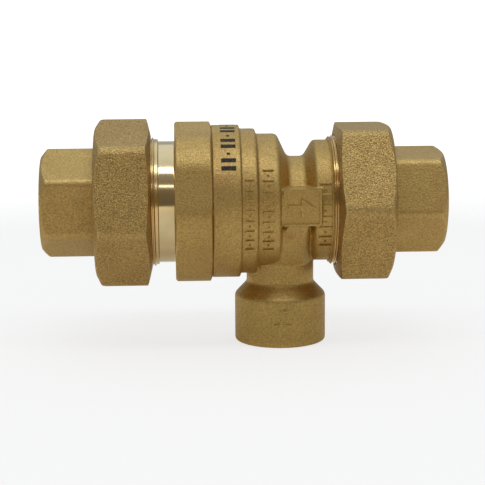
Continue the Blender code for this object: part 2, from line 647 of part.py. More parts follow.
def label_pad(side):
    """A rectangular pad on the neck, with a gusset that runs down to the vent's neck.

    side is -1 at the front and 1 at the back.
    """
    shoulder_end = BODY_START_X + BODY_BARREL_LENGTH + BODY_STEP_LENGTH + BODY_SHOULDER_LENGTH
    start_x = shoulder_end + PAD_SETBACK
    root = side * BODY_NECK_R * math.cos(math.pi / 6)
    plane = side * PAD_PLANE
    pad = box("pad", (start_x, min(root, plane), PAD_BOTTOM),
              (start_x + PAD_LENGTH, max(root, plane), PAD_TOP))
    bm = bmesh.new()
    gusset_x = start_x + GUSSET_TOP_X
    for x in (gusset_x - GUSSET_TOP_WIDTH / 2, gusset_x + GUSSET_TOP_WIDTH / 2):
        for y in (root, plane * 0.97):
            bm.verts.new((x, y, PAD_BOTTOM + GAP))
    foot_r = VENT_NECK_R - GAP
    for step in range(GUSSET_FOOT_STEPS + 1):
        turn = math.radians(GUSSET_FOOT_START + (180 - 2 * GUSSET_FOOT_START) * step / GUSSET_FOOT_STEPS)
        bm.verts.new((VENT_X - foot_r * math.cos(turn), side * foot_r * math.sin(turn), -GUSSET_FOOT_DROP))
    hull = bmesh.ops.convex_hull(bm, input=bm.verts)
    bmesh.ops.delete(bm, geom=hull["geom_interior"], context="VERTS")
    combine(pad, new_object("gusset", bm), "UNION")
    return pad


def valve_body():
    """The body forging with its vent branch and pads, bored along the flow axis and up the vent."""
    made = body_outside()
    combine(made, vent_outside(), "UNION")
    for side in (-1, 1):
        combine(made, label_pad(side), "UNION")
    combine(made, body_inside(), "DIFFERENCE")
    combine(made, vent_inside(), "DIFFERENCE")
    return finish(made, FORGED_BRASS, VENT_X)


# ---- strainer ------------------------------------------------------------------------------------
def strainer():
    """A ring in the cap's mouth and a slotted cup behind it."""
    ring = turned("strainer_ring", ring_profile(STRAINER_X, STRAINER_RING_THICKNESS,
                                                SCREEN_R - 2 * SCREEN_WALL, STRAINER_SEAT_R - GAP), MEDIUM)
    finish(ring, STAINLESS, STRAINER_X)
    inner_r = SCREEN_R - SCREEN_WALL
    end_wall_x = SCREEN_END_X - SCREEN_WALL
    lip_r = CAP_BORE_R - GAP
    cup = turned("strainer_screen", [
        (STRAINER_SEAT_X, inner_r), (STRAINER_SEAT_X, lip_r), (STRAINER_SEAT_X + SCREEN_WALL, lip_r),
        (STRAINER_SEAT_X + SCREEN_WALL, SCREEN_R), (SCREEN_END_X, SCREEN_R), (SCREEN_END_X, inner_r / 3),
        (end_wall_x, inner_r / 3), (end_wall_x, inner_r)], MEDIUM)
    cut_windows(cup, STRAINER_SEAT_X + 2 * SCREEN_WALL, end_wall_x - SCREEN_WALL / 2, inner_r / 2,
                2 * SCREEN_R, SCREEN_SLOTS, SCREEN_SLOT_WIDTH)
    finish(cup, STAINLESS, STRAINER_SEAT_X)


# ---- checks --------------------------------------------------------------------------------------
def spoked_guide(name, x, thickness, hub_r, stem_r, outer_r):
    """A flat guide: an outer ring, a hub for the stem and spokes between them."""
    bore_r = stem_r + GAP
    made = turned(name, ring_profile(x, thickness, bore_r, outer_r), MEDIUM)
    rim = outer_r - 2 * thickness
    width = 0.9 * hub_r
    windows = []
    for window in range(SPOKE_WINDOWS):
        inner = hub_r * 1.15
        cutter = box("window", (x - thickness, -rim / 2 + width / 2, inner),
                     (x + 2 * thickness, rim / 2 - width / 2, rim * 0.92))
        cutter.data.transform(Matrix.Rotation(2 * math.pi * window / SPOKE_WINDOWS, 4, "X"))
        windows.append(cutter)
    for cutter in windows:
        combine(made, cutter, "DIFFERENCE")
    return finish(made, ACETAL, x)


def first_check():
    seal_x = FIRST_SEAT_X + FIRST_SEAT_THICKNESS + SEAT_LIP_HEIGHT + GAP
    back_x = seal_x + SEAL_DISC_THICKNESS + GAP + POPPET_PLATE
    spring_x = back_x + GAP
    ring_x = SPIGOT_END_X - 2 * SNAP_RING_THICKNESS + GAP
    guide_x = ring_x - GAP - FIRST_GUIDE_THICKNESS
    stem_length = guide_x + FIRST_GUIDE_THICKNESS + STEM_PAST_GUIDE - back_x
    check_seat("first_check_seat", FIRST_SEAT_X, FIRST_SEAT_THICKNESS, FIRST_SEAT_HOLE_R, CAP_CHAMBER_R)
    check_o_ring("first_check_o_ring", FIRST_SEAT_X, FIRST_SEAT_THICKNESS, CAP_CHAMBER_R)
    check_poppet("first_check_poppet", seal_x, FIRST_POPPET_R, FIRST_STEM_R, stem_length)
    check_seal_disc("first_check_seal_disc", seal_x, FIRST_POPPET_R)
    check_retainer("first_check_retainer", seal_x)
    helical_spring("first_check_spring", spring_x, guide_x - GAP - spring_x, FIRST_SPRING_R, SPRING_WIRE_R,
                   SPRING_TURNS)
    spoked_guide("first_check_guide", guide_x, FIRST_GUIDE_THICKNESS, 2 * FIRST_STEM_R, FIRST_STEM_R,
                 CAP_CHAMBER_R - GAP)
    snap_ring("first_check_snap_ring", ring_x, CAP_CHAMBER_R + SNAP_GROOVE_DEPTH)


def caged_guide(name, ring_x, end_x):
    """The second check's guide: a ring in the outlet bore and a slotted cage round the spring."""
    thickness = SECOND_GUIDE_THICKNESS
    inner_r = CAGE_R - CAGE_WALL
    bore_r = SECOND_STEM_R + GAP
    end_wall_x = end_x - CAGE_END_THICKNESS
    made = turned(name, [
        (ring_x, inner_r), (ring_x, OUTLET_BORE_R - GAP), (ring_x + thickness, OUTLET_BORE_R - GAP),
        (ring_x + thickness, CAGE_R), (end_x, CAGE_R), (end_x, bore_r), (end_wall_x, bore_r),
        (end_wall_x, inner_r)], MEDIUM)
    slot = 0.55 * CAGE_R
    cut_windows(made, ring_x + 2 * thickness, end_wall_x - GAP, inner_r / 2, 2 * CAGE_R, SPOKE_WINDOWS, slot)
    cut_windows(made, ring_x - thickness, ring_x + 2 * thickness, CAGE_R + CAGE_WALL,
                OUTLET_BORE_R - 2 * CAGE_WALL, SPOKE_WINDOWS, slot, math.pi / SPOKE_WINDOWS)
    return finish(made, ACETAL, ring_x)


def second_check():
    seal_x = SECOND_SEAT_X + SECOND_SEAT_THICKNESS + SEAT_LIP_HEIGHT + GAP
    back_x = seal_x + SEAL_DISC_THICKNESS + GAP + POPPET_PLATE
    spring_x = back_x + GAP
    cage_end_x = spring_x + SECOND_SPRING_ROOM + GAP + CAGE_END_THICKNESS
    stem_length = cage_end_x + STEM_PAST_GUIDE - back_x
    ring_x = OUTLET_FACE_X - 1.5 * SNAP_RING_THICKNESS - GAP
    guide_x = ring_x - GAP - SECOND_GUIDE_THICKNESS
    check_seat("second_check_seat", SECOND_SEAT_X, SECOND_SEAT_THICKNESS, SECOND_SEAT_HOLE_R, OUTLET_BORE_R)
    check_o_ring("second_check_o_ring", SECOND_SEAT_X, SECOND_SEAT_THICKNESS, OUTLET_BORE_R)
    check_poppet("second_check_poppet", seal_x, SECOND_POPPET_R, SECOND_STEM_R, stem_length)
    check_seal_disc("second_check_seal_disc", seal_x, SECOND_POPPET_R)
    check_retainer("second_check_retainer", seal_x)
    helical_spring("second_check_spring", spring_x, SECOND_SPRING_ROOM, SECOND_SPRING_R, SPRING_WIRE_R,
                   SPRING_TURNS)
    caged_guide("second_check_guide", guide_x, cage_end_x)
    snap_ring("second_check_snap_ring", ring_x, OUTLET_BORE_R + SNAP_GROOVE_DEPTH)


# ---- vent valve ----------------------------------------------------------------------------------
def vent_valve():
    """The diaphragm, clamped at its rim, and the hub that carries its middle to the nozzle."""
    rim_outer_r = BODY_BORE_R - GAP
    rim_inner_r = rim_outer_r - DIAPHRAGM_RIM_WIDTH
    clamp = turned("diaphragm_clamp_ring", ring_profile(CLAMP_RING_X, CLAMP_RING_THICKNESS,
                                                        CLAMP_RING_INNER_R, rim_outer_r), MEDIUM)
    finish(clamp, TURNED_BRASS, CLAMP_RING_X)
    web_end_x = WEB_X + DIAPHRAGM_WEB
    rim_end_x = DIAPHRAGM_X + DIAPHRAGM_RIM
    hole_r = HUB_BARREL_R + GAP
    diaphragm = turned("vent_diaphragm", [
        (WEB_X, hole_r), (WEB_X, rim_inner_r), (DIAPHRAGM_X, rim_inner_r + GAP), (DIAPHRAGM_X, rim_outer_r),
        (rim_end_x, rim_outer_r), (rim_end_x, rim_inner_r + GAP), (web_end_x, rim_inner_r),
        (web_end_x, hole_r)], LARGE)
    finish(diaphragm, BLACK_RUBBER, WEB_X)
    flange_end_x = HUB_FLANGE_X + HUB_FLANGE_THICKNESS
    barrel_end_x = flange_end_x + HUB_BARREL_LENGTH
    hub = turned("vent_hub", [
        (HUB_FLANGE_X, HUB_BORE_R), (HUB_FLANGE_X, HUB_FLANGE_R - GAP), (HUB_FLANGE_X + GAP, HUB_FLANGE_R),
        (flange_end_x, HUB_FLANGE_R), (flange_end_x, HUB_BARREL_R), (barrel_end_x, HUB_BARREL_R),
        (barrel_end_x, HUB_BORE_R)], MEDIUM)
    finish(hub, ACETAL, HUB_FLANGE_X)
    retainer = turned("vent_hub_retainer", ring_profile(HUB_RETAINER_X, HUB_RETAINER_THICKNESS,
                                                        HUB_BARREL_R + GAP, HUB_RETAINER_R), MEDIUM)
    finish(retainer, STAINLESS, HUB_RETAINER_X)


def main():
    clear_scene()
    valve_body()
    inlet_cap()
    cap_o_ring()
    tailpiece("inlet_tailpiece", 0, at_outlet=False)
    union_nut("inlet_union_nut", 16, at_outlet=False)
    union_gasket("inlet_union_gasket", at_outlet=False)
    tailpiece("outlet_tailpiece", 21.5, at_outlet=True)
    union_nut("outlet_union_nut", 30, at_outlet=True)
    union_gasket("outlet_union_gasket", at_outlet=True)
    strainer()
    first_check()
    vent_valve()
    second_check()


main()
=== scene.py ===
"""Looks of a brass dual check backflow preventer with union ends and a vent branch.

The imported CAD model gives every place. The brass nodes get fine surfaces here: rounded forgings,
cut threads and raised marks. Everything is in metres, with the flow axis along +X and up along +Z.
"""

import json
import math

import bmesh
import bpy
import numpy as np
from mathutils import Matrix, Vector


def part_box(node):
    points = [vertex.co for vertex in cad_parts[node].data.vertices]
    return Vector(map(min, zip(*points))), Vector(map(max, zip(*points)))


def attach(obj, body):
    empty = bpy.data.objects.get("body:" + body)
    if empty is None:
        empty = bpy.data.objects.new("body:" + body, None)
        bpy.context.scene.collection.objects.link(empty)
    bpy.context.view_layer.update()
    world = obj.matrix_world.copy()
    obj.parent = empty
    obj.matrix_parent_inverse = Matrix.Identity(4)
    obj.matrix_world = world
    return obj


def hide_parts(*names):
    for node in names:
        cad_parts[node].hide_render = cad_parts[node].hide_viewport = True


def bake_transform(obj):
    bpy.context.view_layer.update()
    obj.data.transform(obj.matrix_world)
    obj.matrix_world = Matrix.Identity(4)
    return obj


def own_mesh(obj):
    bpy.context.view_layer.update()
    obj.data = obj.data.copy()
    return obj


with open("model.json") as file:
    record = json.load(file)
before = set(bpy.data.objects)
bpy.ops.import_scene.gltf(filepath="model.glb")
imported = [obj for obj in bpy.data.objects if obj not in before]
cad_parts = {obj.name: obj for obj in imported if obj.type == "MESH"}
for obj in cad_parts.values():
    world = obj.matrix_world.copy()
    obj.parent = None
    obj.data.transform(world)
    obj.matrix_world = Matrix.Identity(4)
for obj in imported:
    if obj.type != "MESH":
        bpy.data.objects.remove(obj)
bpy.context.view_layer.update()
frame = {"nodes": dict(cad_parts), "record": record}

MM = 0.001
GAP = 0.3 * MM  # clearance between CAD pieces
WELD = 0.0005 * MM

# ---- places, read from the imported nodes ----
FLOW_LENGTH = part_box("outlet_tailpiece")[1].x
TAIL_END_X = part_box("inlet_tailpiece")[1].x
NUT_OUTER_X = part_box("inlet_union_nut")[0].x
NUT_INNER_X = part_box("inlet_union_nut")[1].x
CAP_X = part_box("inlet_cap")[0].x
SPIGOT_END_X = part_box("inlet_cap")[1].x
BODY_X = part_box("valve_body")[0].x
BODY_END_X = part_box("valve_body")[1].x
VENT_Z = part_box("valve_body")[0].z
VENT_RIM = next(m for m in frame["record"]["mounts"] if m["name"] == "vent_rim")
VENT_RIM_R = 11.5 * MM  # from the vent's axis to the middle of its rim
VENT_X = VENT_RIM["pos_m"][0] - VENT_RIM_R

# ---- threads ----
UNION_PITCH = 0.907 * MM
UNION_MAJOR_R = 18.35 * MM
UNION_DEPTH = 0.55 * MM
UNION_THREAD_LENGTH = 8.0 * MM
NUT_MINOR_R = 17.95 * MM
NUT_GROOVE = 0.65 * MM
PIPE_PITCH = 1.814 * MM
PIPE_MINOR_R = 9.3 * MM
PIPE_GROOVE = 1.25 * MM
PIPE_TAPER = 1 / 32
PIPE_MOUTH_R = 10.9 * MM
PIPE_DEPTH = 15.0 * MM
WATERWAY_R = 8.4 * MM
UNION_MINOR_R = UNION_MAJOR_R - UNION_DEPTH

FINE = 240  # columns round a large turned surface
BORE = 144  # columns round a bore


# ---- surfaces from rows of points ----
def filleted(corners, steps=5):
    """A polyline through (x, radius, fillet) corners, with an arc at each corner that has a fillet."""
    line = []
    for place, (x, r, fillet) in enumerate(corners):
        here = Vector((x, r))
        if not fillet or place in (0, len(corners) - 1):
            line.append((x, r))
            continue
        back = Vector(corners[place - 1][:2]) - here
        ahead = Vector(corners[place + 1][:2]) - here
        half = back.angle(ahead) / 2
        reach = min(fillet / math.tan(half), 0.48 * min(back.length, ahead.length))
        centre = here + (back.normalized() + ahead.normalized()).normalized() * reach / math.cos(half)
        first = here + back.normalized() * reach - centre
        last = here + ahead.normalized() * reach - centre
        sweep = math.pi - 2 * half
        for step in range(steps + 1):
            share = step / steps
            arm = (first * math.sin((1 - share) * sweep) + last * math.sin(share * sweep)) / math.sin(sweep)
            line.append(tuple(centre + arm))
    return line


def refined(line, longest):
    """The same polyline with no stretch longer than longest."""
    fine = [line[0]]
    for (x0, r0), (x1, r1) in zip(line, line[1:]):
        parts = max(1, math.ceil(math.hypot(x1 - x0, r1 - r0) / longest))
        fine += [(x0 + (x1 - x0) * k / parts, r0 + (r1 - r0) * k / parts) for k in range(1, parts + 1)]
    return fine


def angles(columns):
    return np.arange(columns) * 2 * math.pi / columns


def round_points(x, r, turn):
    """Points at x, at radius r and turn about the flow axis. The arrays have one shape."""
    return np.stack([x, r * np.cos(turn), r * np.sin(turn)], axis=-1)


def turned_band(line, columns, shape=None):
    """Rings along a profile. shape(x, r, turn) may change the radii of a ring."""
    turn = angles(columns)
    rows = []
    for x, r in line:
        radii = np.full(columns, r) if shape is None else shape(x, r, turn)
        rows.append(round_points(np.full(columns, x), radii, turn))
    return np.array(rows), 0


THREAD_FORM = np.array([0, 0, 1 / 3, 2 / 3, 1, 1, 2 / 3, 1 / 3])


def thread_band(low, high, pitch, columns, radius_at, depth, fade, limit=None):
    """Rows that follow a right hand helix from low to high along the flow axis.

    radius_at(x) is the radius at the bottom of the form and depth is added to it at the top.
    The form fades out over fade at each end, and limit(x, r) may trim it.
    """
    rows_a_turn = len(THREAD_FORM)
    rise = pitch / rows_a_turn
    first = math.floor(low / rise) - rows_a_turn - 1
    last = math.ceil(high / rise) + rows_a_turn + 1
    number = np.arange(first, last + 1)
    share = np.arange(columns) / columns
    x = np.clip(number[:, None] * rise + pitch * share[None, :], low, high)
    ease = np.clip(np.minimum(x - low, high - x) / fade, 0, 1)
    form = THREAD_FORM[number % rows_a_turn][:, None] * ease * ease * (3 - 2 * ease)
    r = radius_at(x) + depth * form
    if limit is not None:
        r = limit(x, r)
    turn = np.broadcast_to(2 * math.pi * share, x.shape)
    return round_points(x, r, turn), rows_a_turn


def surface(name, bands):
    """One mesh object from bands of rows, welded where they meet, with its faces pointing out."""
    points, faces, used = [], [], 0
    for grid, wrap in bands:
        rows, columns = grid.shape[:2]
        index = used + np.arange(rows * columns).reshape(rows, columns)
        onward = np.roll(index, -1, axis=1)
        onward[:, -1] = index[np.minimum(np.arange(rows) + wrap, rows - 1), 0]
        faces.append(np.stack([index[:-1], onward[:-1], onward[1:], index[1:]], axis=-1).reshape(-1, 4))
        points.append(grid.reshape(-1, 3))
        used += rows * columns
    mesh = bpy.data.meshes.new(name)
    mesh.from_pydata(np.concatenate(points).tolist(), [], np.concatenate(faces).tolist())
    bm = bmesh.new()
    bm.from_mesh(mesh)
    bmesh.ops.remove_doubles(bm, verts=bm.verts, dist=WELD)
    bmesh.ops.dissolve_degenerate(bm, edges=bm.edges, dist=WELD)
    loose = [vert for vert in bm.verts if not vert.link_faces]
    bmesh.ops.delete(bm, geom=loose, context="VERTS")
    bmesh.ops.recalc_face_normals(bm, faces=bm.faces)
    bm.to_mesh(mesh)
    bm.free()
    made = bpy.data.objects.new(name, mesh)
    bpy.context.scene.collection.objects.link(made)
    return made


def soft_min(a, b, blend):
    near = np.maximum(blend - np.abs(a - b), 0) / blend
    return np.minimum(a, b) - near * near * blend / 4


def hexagon_radius(turn, across_flats, corner_r, flat_above_front):
    """Radius of a rounded hexagon whose one flat faces the front, turned up by that many degrees."""
    sixth = math.pi / 3
    off = np.abs((turn - math.pi + math.radians(flat_above_front) + sixth / 2) % sixth - sixth / 2)
    centre = (across_flats / 2 - corner_r) / math.cos(sixth / 2)
    start = math.atan(centre * math.sin(sixth / 2) / (across_flats / 2))
    lean = off - sixth / 2
    root = np.sqrt(np.maximum(corner_r ** 2 - (centre * np.sin(lean)) ** 2, 0))
    return np.where(off < start, across_flats / 2 / np.cos(off), centre * np.cos(lean) + root)


def hexagonal(across_flats, corner_r, flat_above_front, blend):
    """A shape for turned_band: the hexagon, softly trimmed by the turned profile."""
    def shape(x, r, turn):
        return soft_min(hexagon_radius(turn, across_flats, corner_r, flat_above_front), r, blend)
    return shape


def apply_modifiers(made):
    depsgraph = bpy.context.evaluated_depsgraph_get()
    result = bpy.data.meshes.new_from_object(made.evaluated_get(depsgraph))
    made.modifiers.clear()
    made.data = result


def combine(target, tool, operation):
    """One manifold Boolean, applied, after which the tool is gone."""
    step = target.modifiers.new(operation, "BOOLEAN")
    step.operation = operation
    step.solver = "MANIFOLD"
    step.object = tool
    apply_modifiers(target)
    bpy.data.objects.remove(tool, do_unlink=True)


def settle(made, body, nodes, paint, sharp_above=40):
    """Puts a finished piece on its body, if it has one, in place of its CAD nodes, with its material."""
    made.data.materials.clear()
    made.data.materials.append(paint)
    made.data.shade_smooth()
    made.data.set_sharp_from_angle(angle=math.radians(sharp_above))
    if body:
        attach(made, body)
    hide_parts(*nodes)


# ---- materials ----
class Nodes:
    """A short way to write a node tree."""

    def __init__(self, tree):
        self.tree = tree

    def add(self, kind, **settings):
        made = self.tree.nodes.new("ShaderNode" + kind)
        for key, value in settings.items():
            setattr(made, key, value)
        return made

    def link(self, source, target):
        self.tree.links.new(source, target)

    def noise(self, place, scale, detail=3.0, roughness=0.55, distortion=0.0):
        made = self.add("TexNoise")
        self.link(place, made.inputs["Vector"])
        made.inputs["Scale"].default_value = scale
        made.inputs["Detail"].default_value = detail
        made.inputs["Roughness"].default_value = roughness
        made.inputs["Distortion"].default_value = distortion
        return made.outputs["Fac"]

    def spread(self, value, low, high, to_low=0.0, to_high=1.0):
        made = self.add("MapRange")
        self.link(value, made.inputs["Value"])
        for key, number in (("From Min", low), ("From Max", high), ("To Min", to_low), ("To Max", to_high)):
            made.inputs[key].default_value = number
        return made.outputs["Result"]

    def mix(self, share, a, b, blend_type="MIX"):
        made = self.add("Mix", data_type="RGBA", blend_type=blend_type)
        for source, socket in ((share, made.inputs[0]), (a, made.inputs[6]), (b, made.inputs[7])):
            if isinstance(source, bpy.types.NodeSocket):
                self.link(source, socket)
            elif isinstance(source, tuple):
                socket.default_value = (*source, 1.0)
            else:
                socket.default_value = source
        return made.outputs[2]

    def maths(self, operation, a, b=0.0):
        made = self.add("Math", operation=operation)
        for source, socket in ((a, made.inputs[0]), (b, made.inputs[1])):
            if isinstance(source, bpy.types.NodeSocket):
                self.link(source, socket)
            else:
                socket.default_value = source
        return made.outputs[0]

    def bump(self, height, strength, distance, under=None):
        made = self.add("Bump")
        made.inputs["Strength"].default_value = strength
        made.inputs["Distance"].default_value = distance
        self.link(height, made.inputs["Height"])
        if under is not None:
            self.link(under, made.inputs["Normal"])
        return made.outputs["Normal"]


def new_material(name, metallic):
    """A material with its node helper, its object coordinates and its shader."""
    made = bpy.data.materials.new(name)
    made.use_nodes = True
    nodes = Nodes(made.node_tree)
    shader = made.node_tree.nodes["Principled BSDF"]
    shader.inputs["Metallic"].default_value = metallic
    place = nodes.add("TexCoord").outputs["Object"]
    return made, nodes, place, shader


def blasted_brass(name, light, dark, stain=0.0, grain=1.0, rough=0.46, edge_wear_and_highlight=0.55):
    """Forged and shot blasted brass: a fine pitted grain, warm patches and paler edges that are partly wear
    and partly a painted highlight.
    """
    made, nodes, place, shader = new_material(name, 1.0)
    pits = nodes.noise(place, 3600, detail=1.0, roughness=0.5)
    coarse = nodes.noise(place, 2500, detail=1.5, roughness=0.55)
    patches = nodes.noise(place, 70, detail=5.0, roughness=0.62)
    drift = nodes.noise(place, 26, detail=2.0)
    tone = nodes.mix(nodes.spread(patches, 0.30, 0.70), dark, light)
    tone = nodes.mix(nodes.spread(drift, 0.42, 0.7, 0.0, 0.25), tone, (0.52, 0.31, 0.13))
    speck = nodes.spread(coarse, 0.30, 0.70, 1 - 0.34 * grain, 1 + 0.22 * grain)
    spread = nodes.add("CombineColor")
    for channel in range(3):
        nodes.link(speck, spread.inputs[channel])
    tone = nodes.mix(1.0, tone, spread.outputs[0], "MULTIPLY")
    if stain:
        rust = nodes.spread(nodes.noise(place, 60, detail=5.0, roughness=0.7), 0.58, 0.72, 0.0, stain)
        tone = nodes.mix(rust, tone, (0.40, 0.14, 0.06))
    if edge_wear_and_highlight:
        # Pointy edges are mixed towards pale brass: partly edge wear, partly a painted highlight on the
        # corners.
        edge = nodes.spread(nodes.add("NewGeometry").outputs["Pointiness"], 0.505, 0.56, 0.0, edge_wear_and_highlight)
        tone = nodes.mix(edge, tone, (0.86, 0.66, 0.33))
    nodes.link(tone, shader.inputs["Base Color"])
    gloss = nodes.maths("ADD", nodes.spread(patches, 0.3, 0.7, rough + 0.06, rough - 0.04),
                        nodes.spread(coarse, 0.3, 0.7, 0.05, -0.05))
    nodes.link(gloss, shader.inputs["Roughness"])
    height = nodes.maths("ADD", nodes.maths("MULTIPLY", pits, 0.6), coarse)
    under = nodes.bump(nodes.noise(place, 300, detail=2.0), 0.25, 0.20 * MM)
    nodes.link(nodes.bump(height, 0.75 * grain, 0.16 * MM, under), shader.inputs["Normal"])
    return made


def turned_brass(name, colour, rough, ripple):
    """Machined brass with fine turning lines round the flow axis."""
    made, nodes, place, shader = new_material(name, 1.0)
    split = nodes.add("SeparateXYZ")
    nodes.link(place, split.inputs[0])
    lines = nodes.add("TexNoise", noise_dimensions="1D")
    nodes.link(split.outputs["X"], lines.inputs["W"])
    lines.inputs["Scale"].default_value = 5200
    lines.inputs["Detail"].default_value = 3.0
    haze = nodes.noise(place, 130, detail=4.0)
    deep = tuple(channel * 0.86 for channel in colour)
    nodes.link(nodes.mix(nodes.spread(haze, 0.35, 0.65), colour, deep), shader.inputs["Base Color"])
    nodes.link(nodes.spread(haze, 0.3, 0.7, rough, rough * 1.6), shader.inputs["Roughness"])
    nodes.link(nodes.bump(lines.outputs["Fac"], ripple, 0.01 * MM), shader.inputs["Normal"])
    return made


def steel():
    made, nodes, place, shader = new_material("stainless_steel", 1.0)
    haze = nodes.noise(place, 700, detail=4.0)
    nodes.link(nodes.mix(nodes.spread(haze, 0.3, 0.7), (0.56, 0.56, 0.55), (0.66, 0.65, 0.63)),
               shader.inputs["Base Color"])
    nodes.link(nodes.spread(haze, 0.3, 0.7, 0.22, 0.34), shader.inputs["Roughness"])
    nodes.link(nodes.bump(nodes.noise(place, 2500), 0.15, 0.02 * MM), shader.inputs["Normal"])
    return made


def rubber():
    made, nodes, place, shader = new_material("black_rubber", 0.0)
    bloom = nodes.noise(place, 260, detail=5.0)
    nodes.link(nodes.mix(nodes.spread(bloom, 0.4, 0.75), (0.018, 0.018, 0.019), (0.05, 0.05, 0.052)),
               shader.inputs["Base Color"])
    nodes.link(nodes.spread(bloom, 0.3, 0.7, 0.5, 0.68), shader.inputs["Roughness"])
    nodes.link(nodes.bump(nodes.noise(place, 1900), 0.2, 0.04 * MM), shader.inputs["Normal"])
    return made


def acetal():
    made, nodes, place, shader = new_material("white_acetal", 0.0)
    haze = nodes.noise(place, 200, detail=3.0)
    nodes.link(nodes.mix(nodes.spread(haze, 0.35, 0.7), (0.78, 0.77, 0.72), (0.70, 0.69, 0.64)),
               shader.inputs["Base Color"])
    nodes.link(nodes.spread(haze, 0.3, 0.7, 0.32, 0.42), shader.inputs["Roughness"])
    nodes.link(nodes.bump(nodes.noise(place, 1500), 0.12, 0.03 * MM), shader.inputs["Normal"])
    shader.inputs["Subsurface Weight"].default_value = 0.08
    shader.inputs["Subsurface Radius"].default_value = (0.002, 0.002, 0.0018)
    return made


def ink():
    made, nodes, place, shader = new_material("black_ink", 0.0)
    wear = nodes.noise(place, 1500, detail=3.0)
    nodes.link(nodes.mix(nodes.spread(wear, 0.45, 0.8), (0.016, 0.013, 0.010), (0.10, 0.075, 0.04)),
               shader.inputs["Base Color"])
    nodes.link(nodes.spread(wear, 0.3, 0.7, 0.65, 0.8), shader.inputs["Roughness"])
    nodes.link(nodes.bump(nodes.noise(place, 2300), 0.6, 0.12 * MM), shader.inputs["Normal"])
    return made


FORGED = (0.64, 0.45, 0.158)
BODY_BRASS = blasted_brass("forged_brass_body", FORGED, (0.56, 0.38, 0.130), stain=0.5, grain=0.8, edge_wear_and_highlight=0.0)
NUT_BRASS = blasted_brass("forged_brass_nut", (0.61, 0.42, 0.155), (0.54, 0.365, 0.132),
                          grain=1.35, rough=0.48)
TAIL_BRASS = blasted_brass("forged_brass_tail", FORGED, (0.57, 0.39, 0.135), grain=0.75)
CUT_BRASS = turned_brass("turned_brass", (0.86, 0.67, 0.36), 0.16, 0.5)
POLISHED_BRASS = turned_brass("polished_brass", (0.90, 0.73, 0.42), 0.09, 0.15)
STEEL = steel()
RUBBER = rubber()
ACETAL = acetal()
INK = ink()


# ---- unions ----
def at_end(line, outlet):
    """A profile made at the inlet end, as it is or mirrored to the outlet end."""
    return [(FLOW_LENGTH - x, r) for x, r in line] if outlet else line


def span(a, b, outlet):
    """Two places at the inlet end as a (low, high) pair at either end."""
    return (FLOW_LENGTH - b, FLOW_LENGTH - a) if outlet else (a, b)


NUT_FLATS = 42.3 * MM
NUT_CORNER_R = 3.2 * MM
NUT_FLANGE = 3.2 * MM
NUT_CROWN_R = 25.3 * MM  # past the corners, so that the flats stay whole
TAIL_FLATS = 27.5 * MM
TAIL_CORNER_R = 2.4 * MM
TAIL_CROWN_R = 16.6 * MM
TAIL_SEAT_R = 9.8 * MM


def union_nut(name, node, body, flat_above_front, outlet):
    """A forged hexagonal nut with a cut thread, a lead-in and a flange that pulls on the tail."""
    hole_r = 16.18 * MM
    mouth_r = 18.75 * MM
    shoulder_x = NUT_OUTER_X + NUT_FLANGE
    relief_x = shoulder_x + 0.9 * MM
    relief_r = NUT_MINOR_R + NUT_GROOVE
    outside = refined(filleted([
        (NUT_OUTER_X, hole_r + 0.4 * MM, 0), (NUT_OUTER_X, 20.8 * MM, 1.6 * MM),
        (NUT_OUTER_X + 1.5 * MM, 23.9 * MM, 2.5 * MM), (NUT_OUTER_X + 3.4 * MM, NUT_CROWN_R, 0),
        (NUT_INNER_X - 2.2 * MM, NUT_CROWN_R, 0), (NUT_INNER_X - 1.3 * MM, 24.5 * MM, 1.0 * MM),
        (NUT_INNER_X, 18.95 * MM, 0)]), 0.22 * MM)
    shape = hexagonal(NUT_FLATS, NUT_CORNER_R, flat_above_front, 0.9 * MM)
    bore = filleted([
        (relief_x, NUT_MINOR_R, 0), (relief_x - 0.2 * MM, relief_r, 0), (shoulder_x, relief_r, 0.2 * MM),
        (shoulder_x, hole_r, 0.25 * MM), (NUT_OUTER_X + 0.4 * MM, hole_r, 0),
        (NUT_OUTER_X, hole_r + 0.4 * MM, 0)])
    low, high = span(relief_x, NUT_INNER_X, outlet)

    def lead_in(x, r):
        inward = x - low if outlet else high - x
        return np.maximum(r, mouth_r + 0.2 * MM - inward)

    thread = thread_band(low, high, UNION_PITCH, FINE, lambda x: np.full_like(x, NUT_MINOR_R),
                         NUT_GROOVE, 0.5 * UNION_PITCH, lead_in)
    made = surface(name, [turned_band(at_end(outside, outlet), FINE, shape), thread,
                          turned_band(at_end(bore, outlet), FINE)])
    settle(made, body, [node], NUT_BRASS)


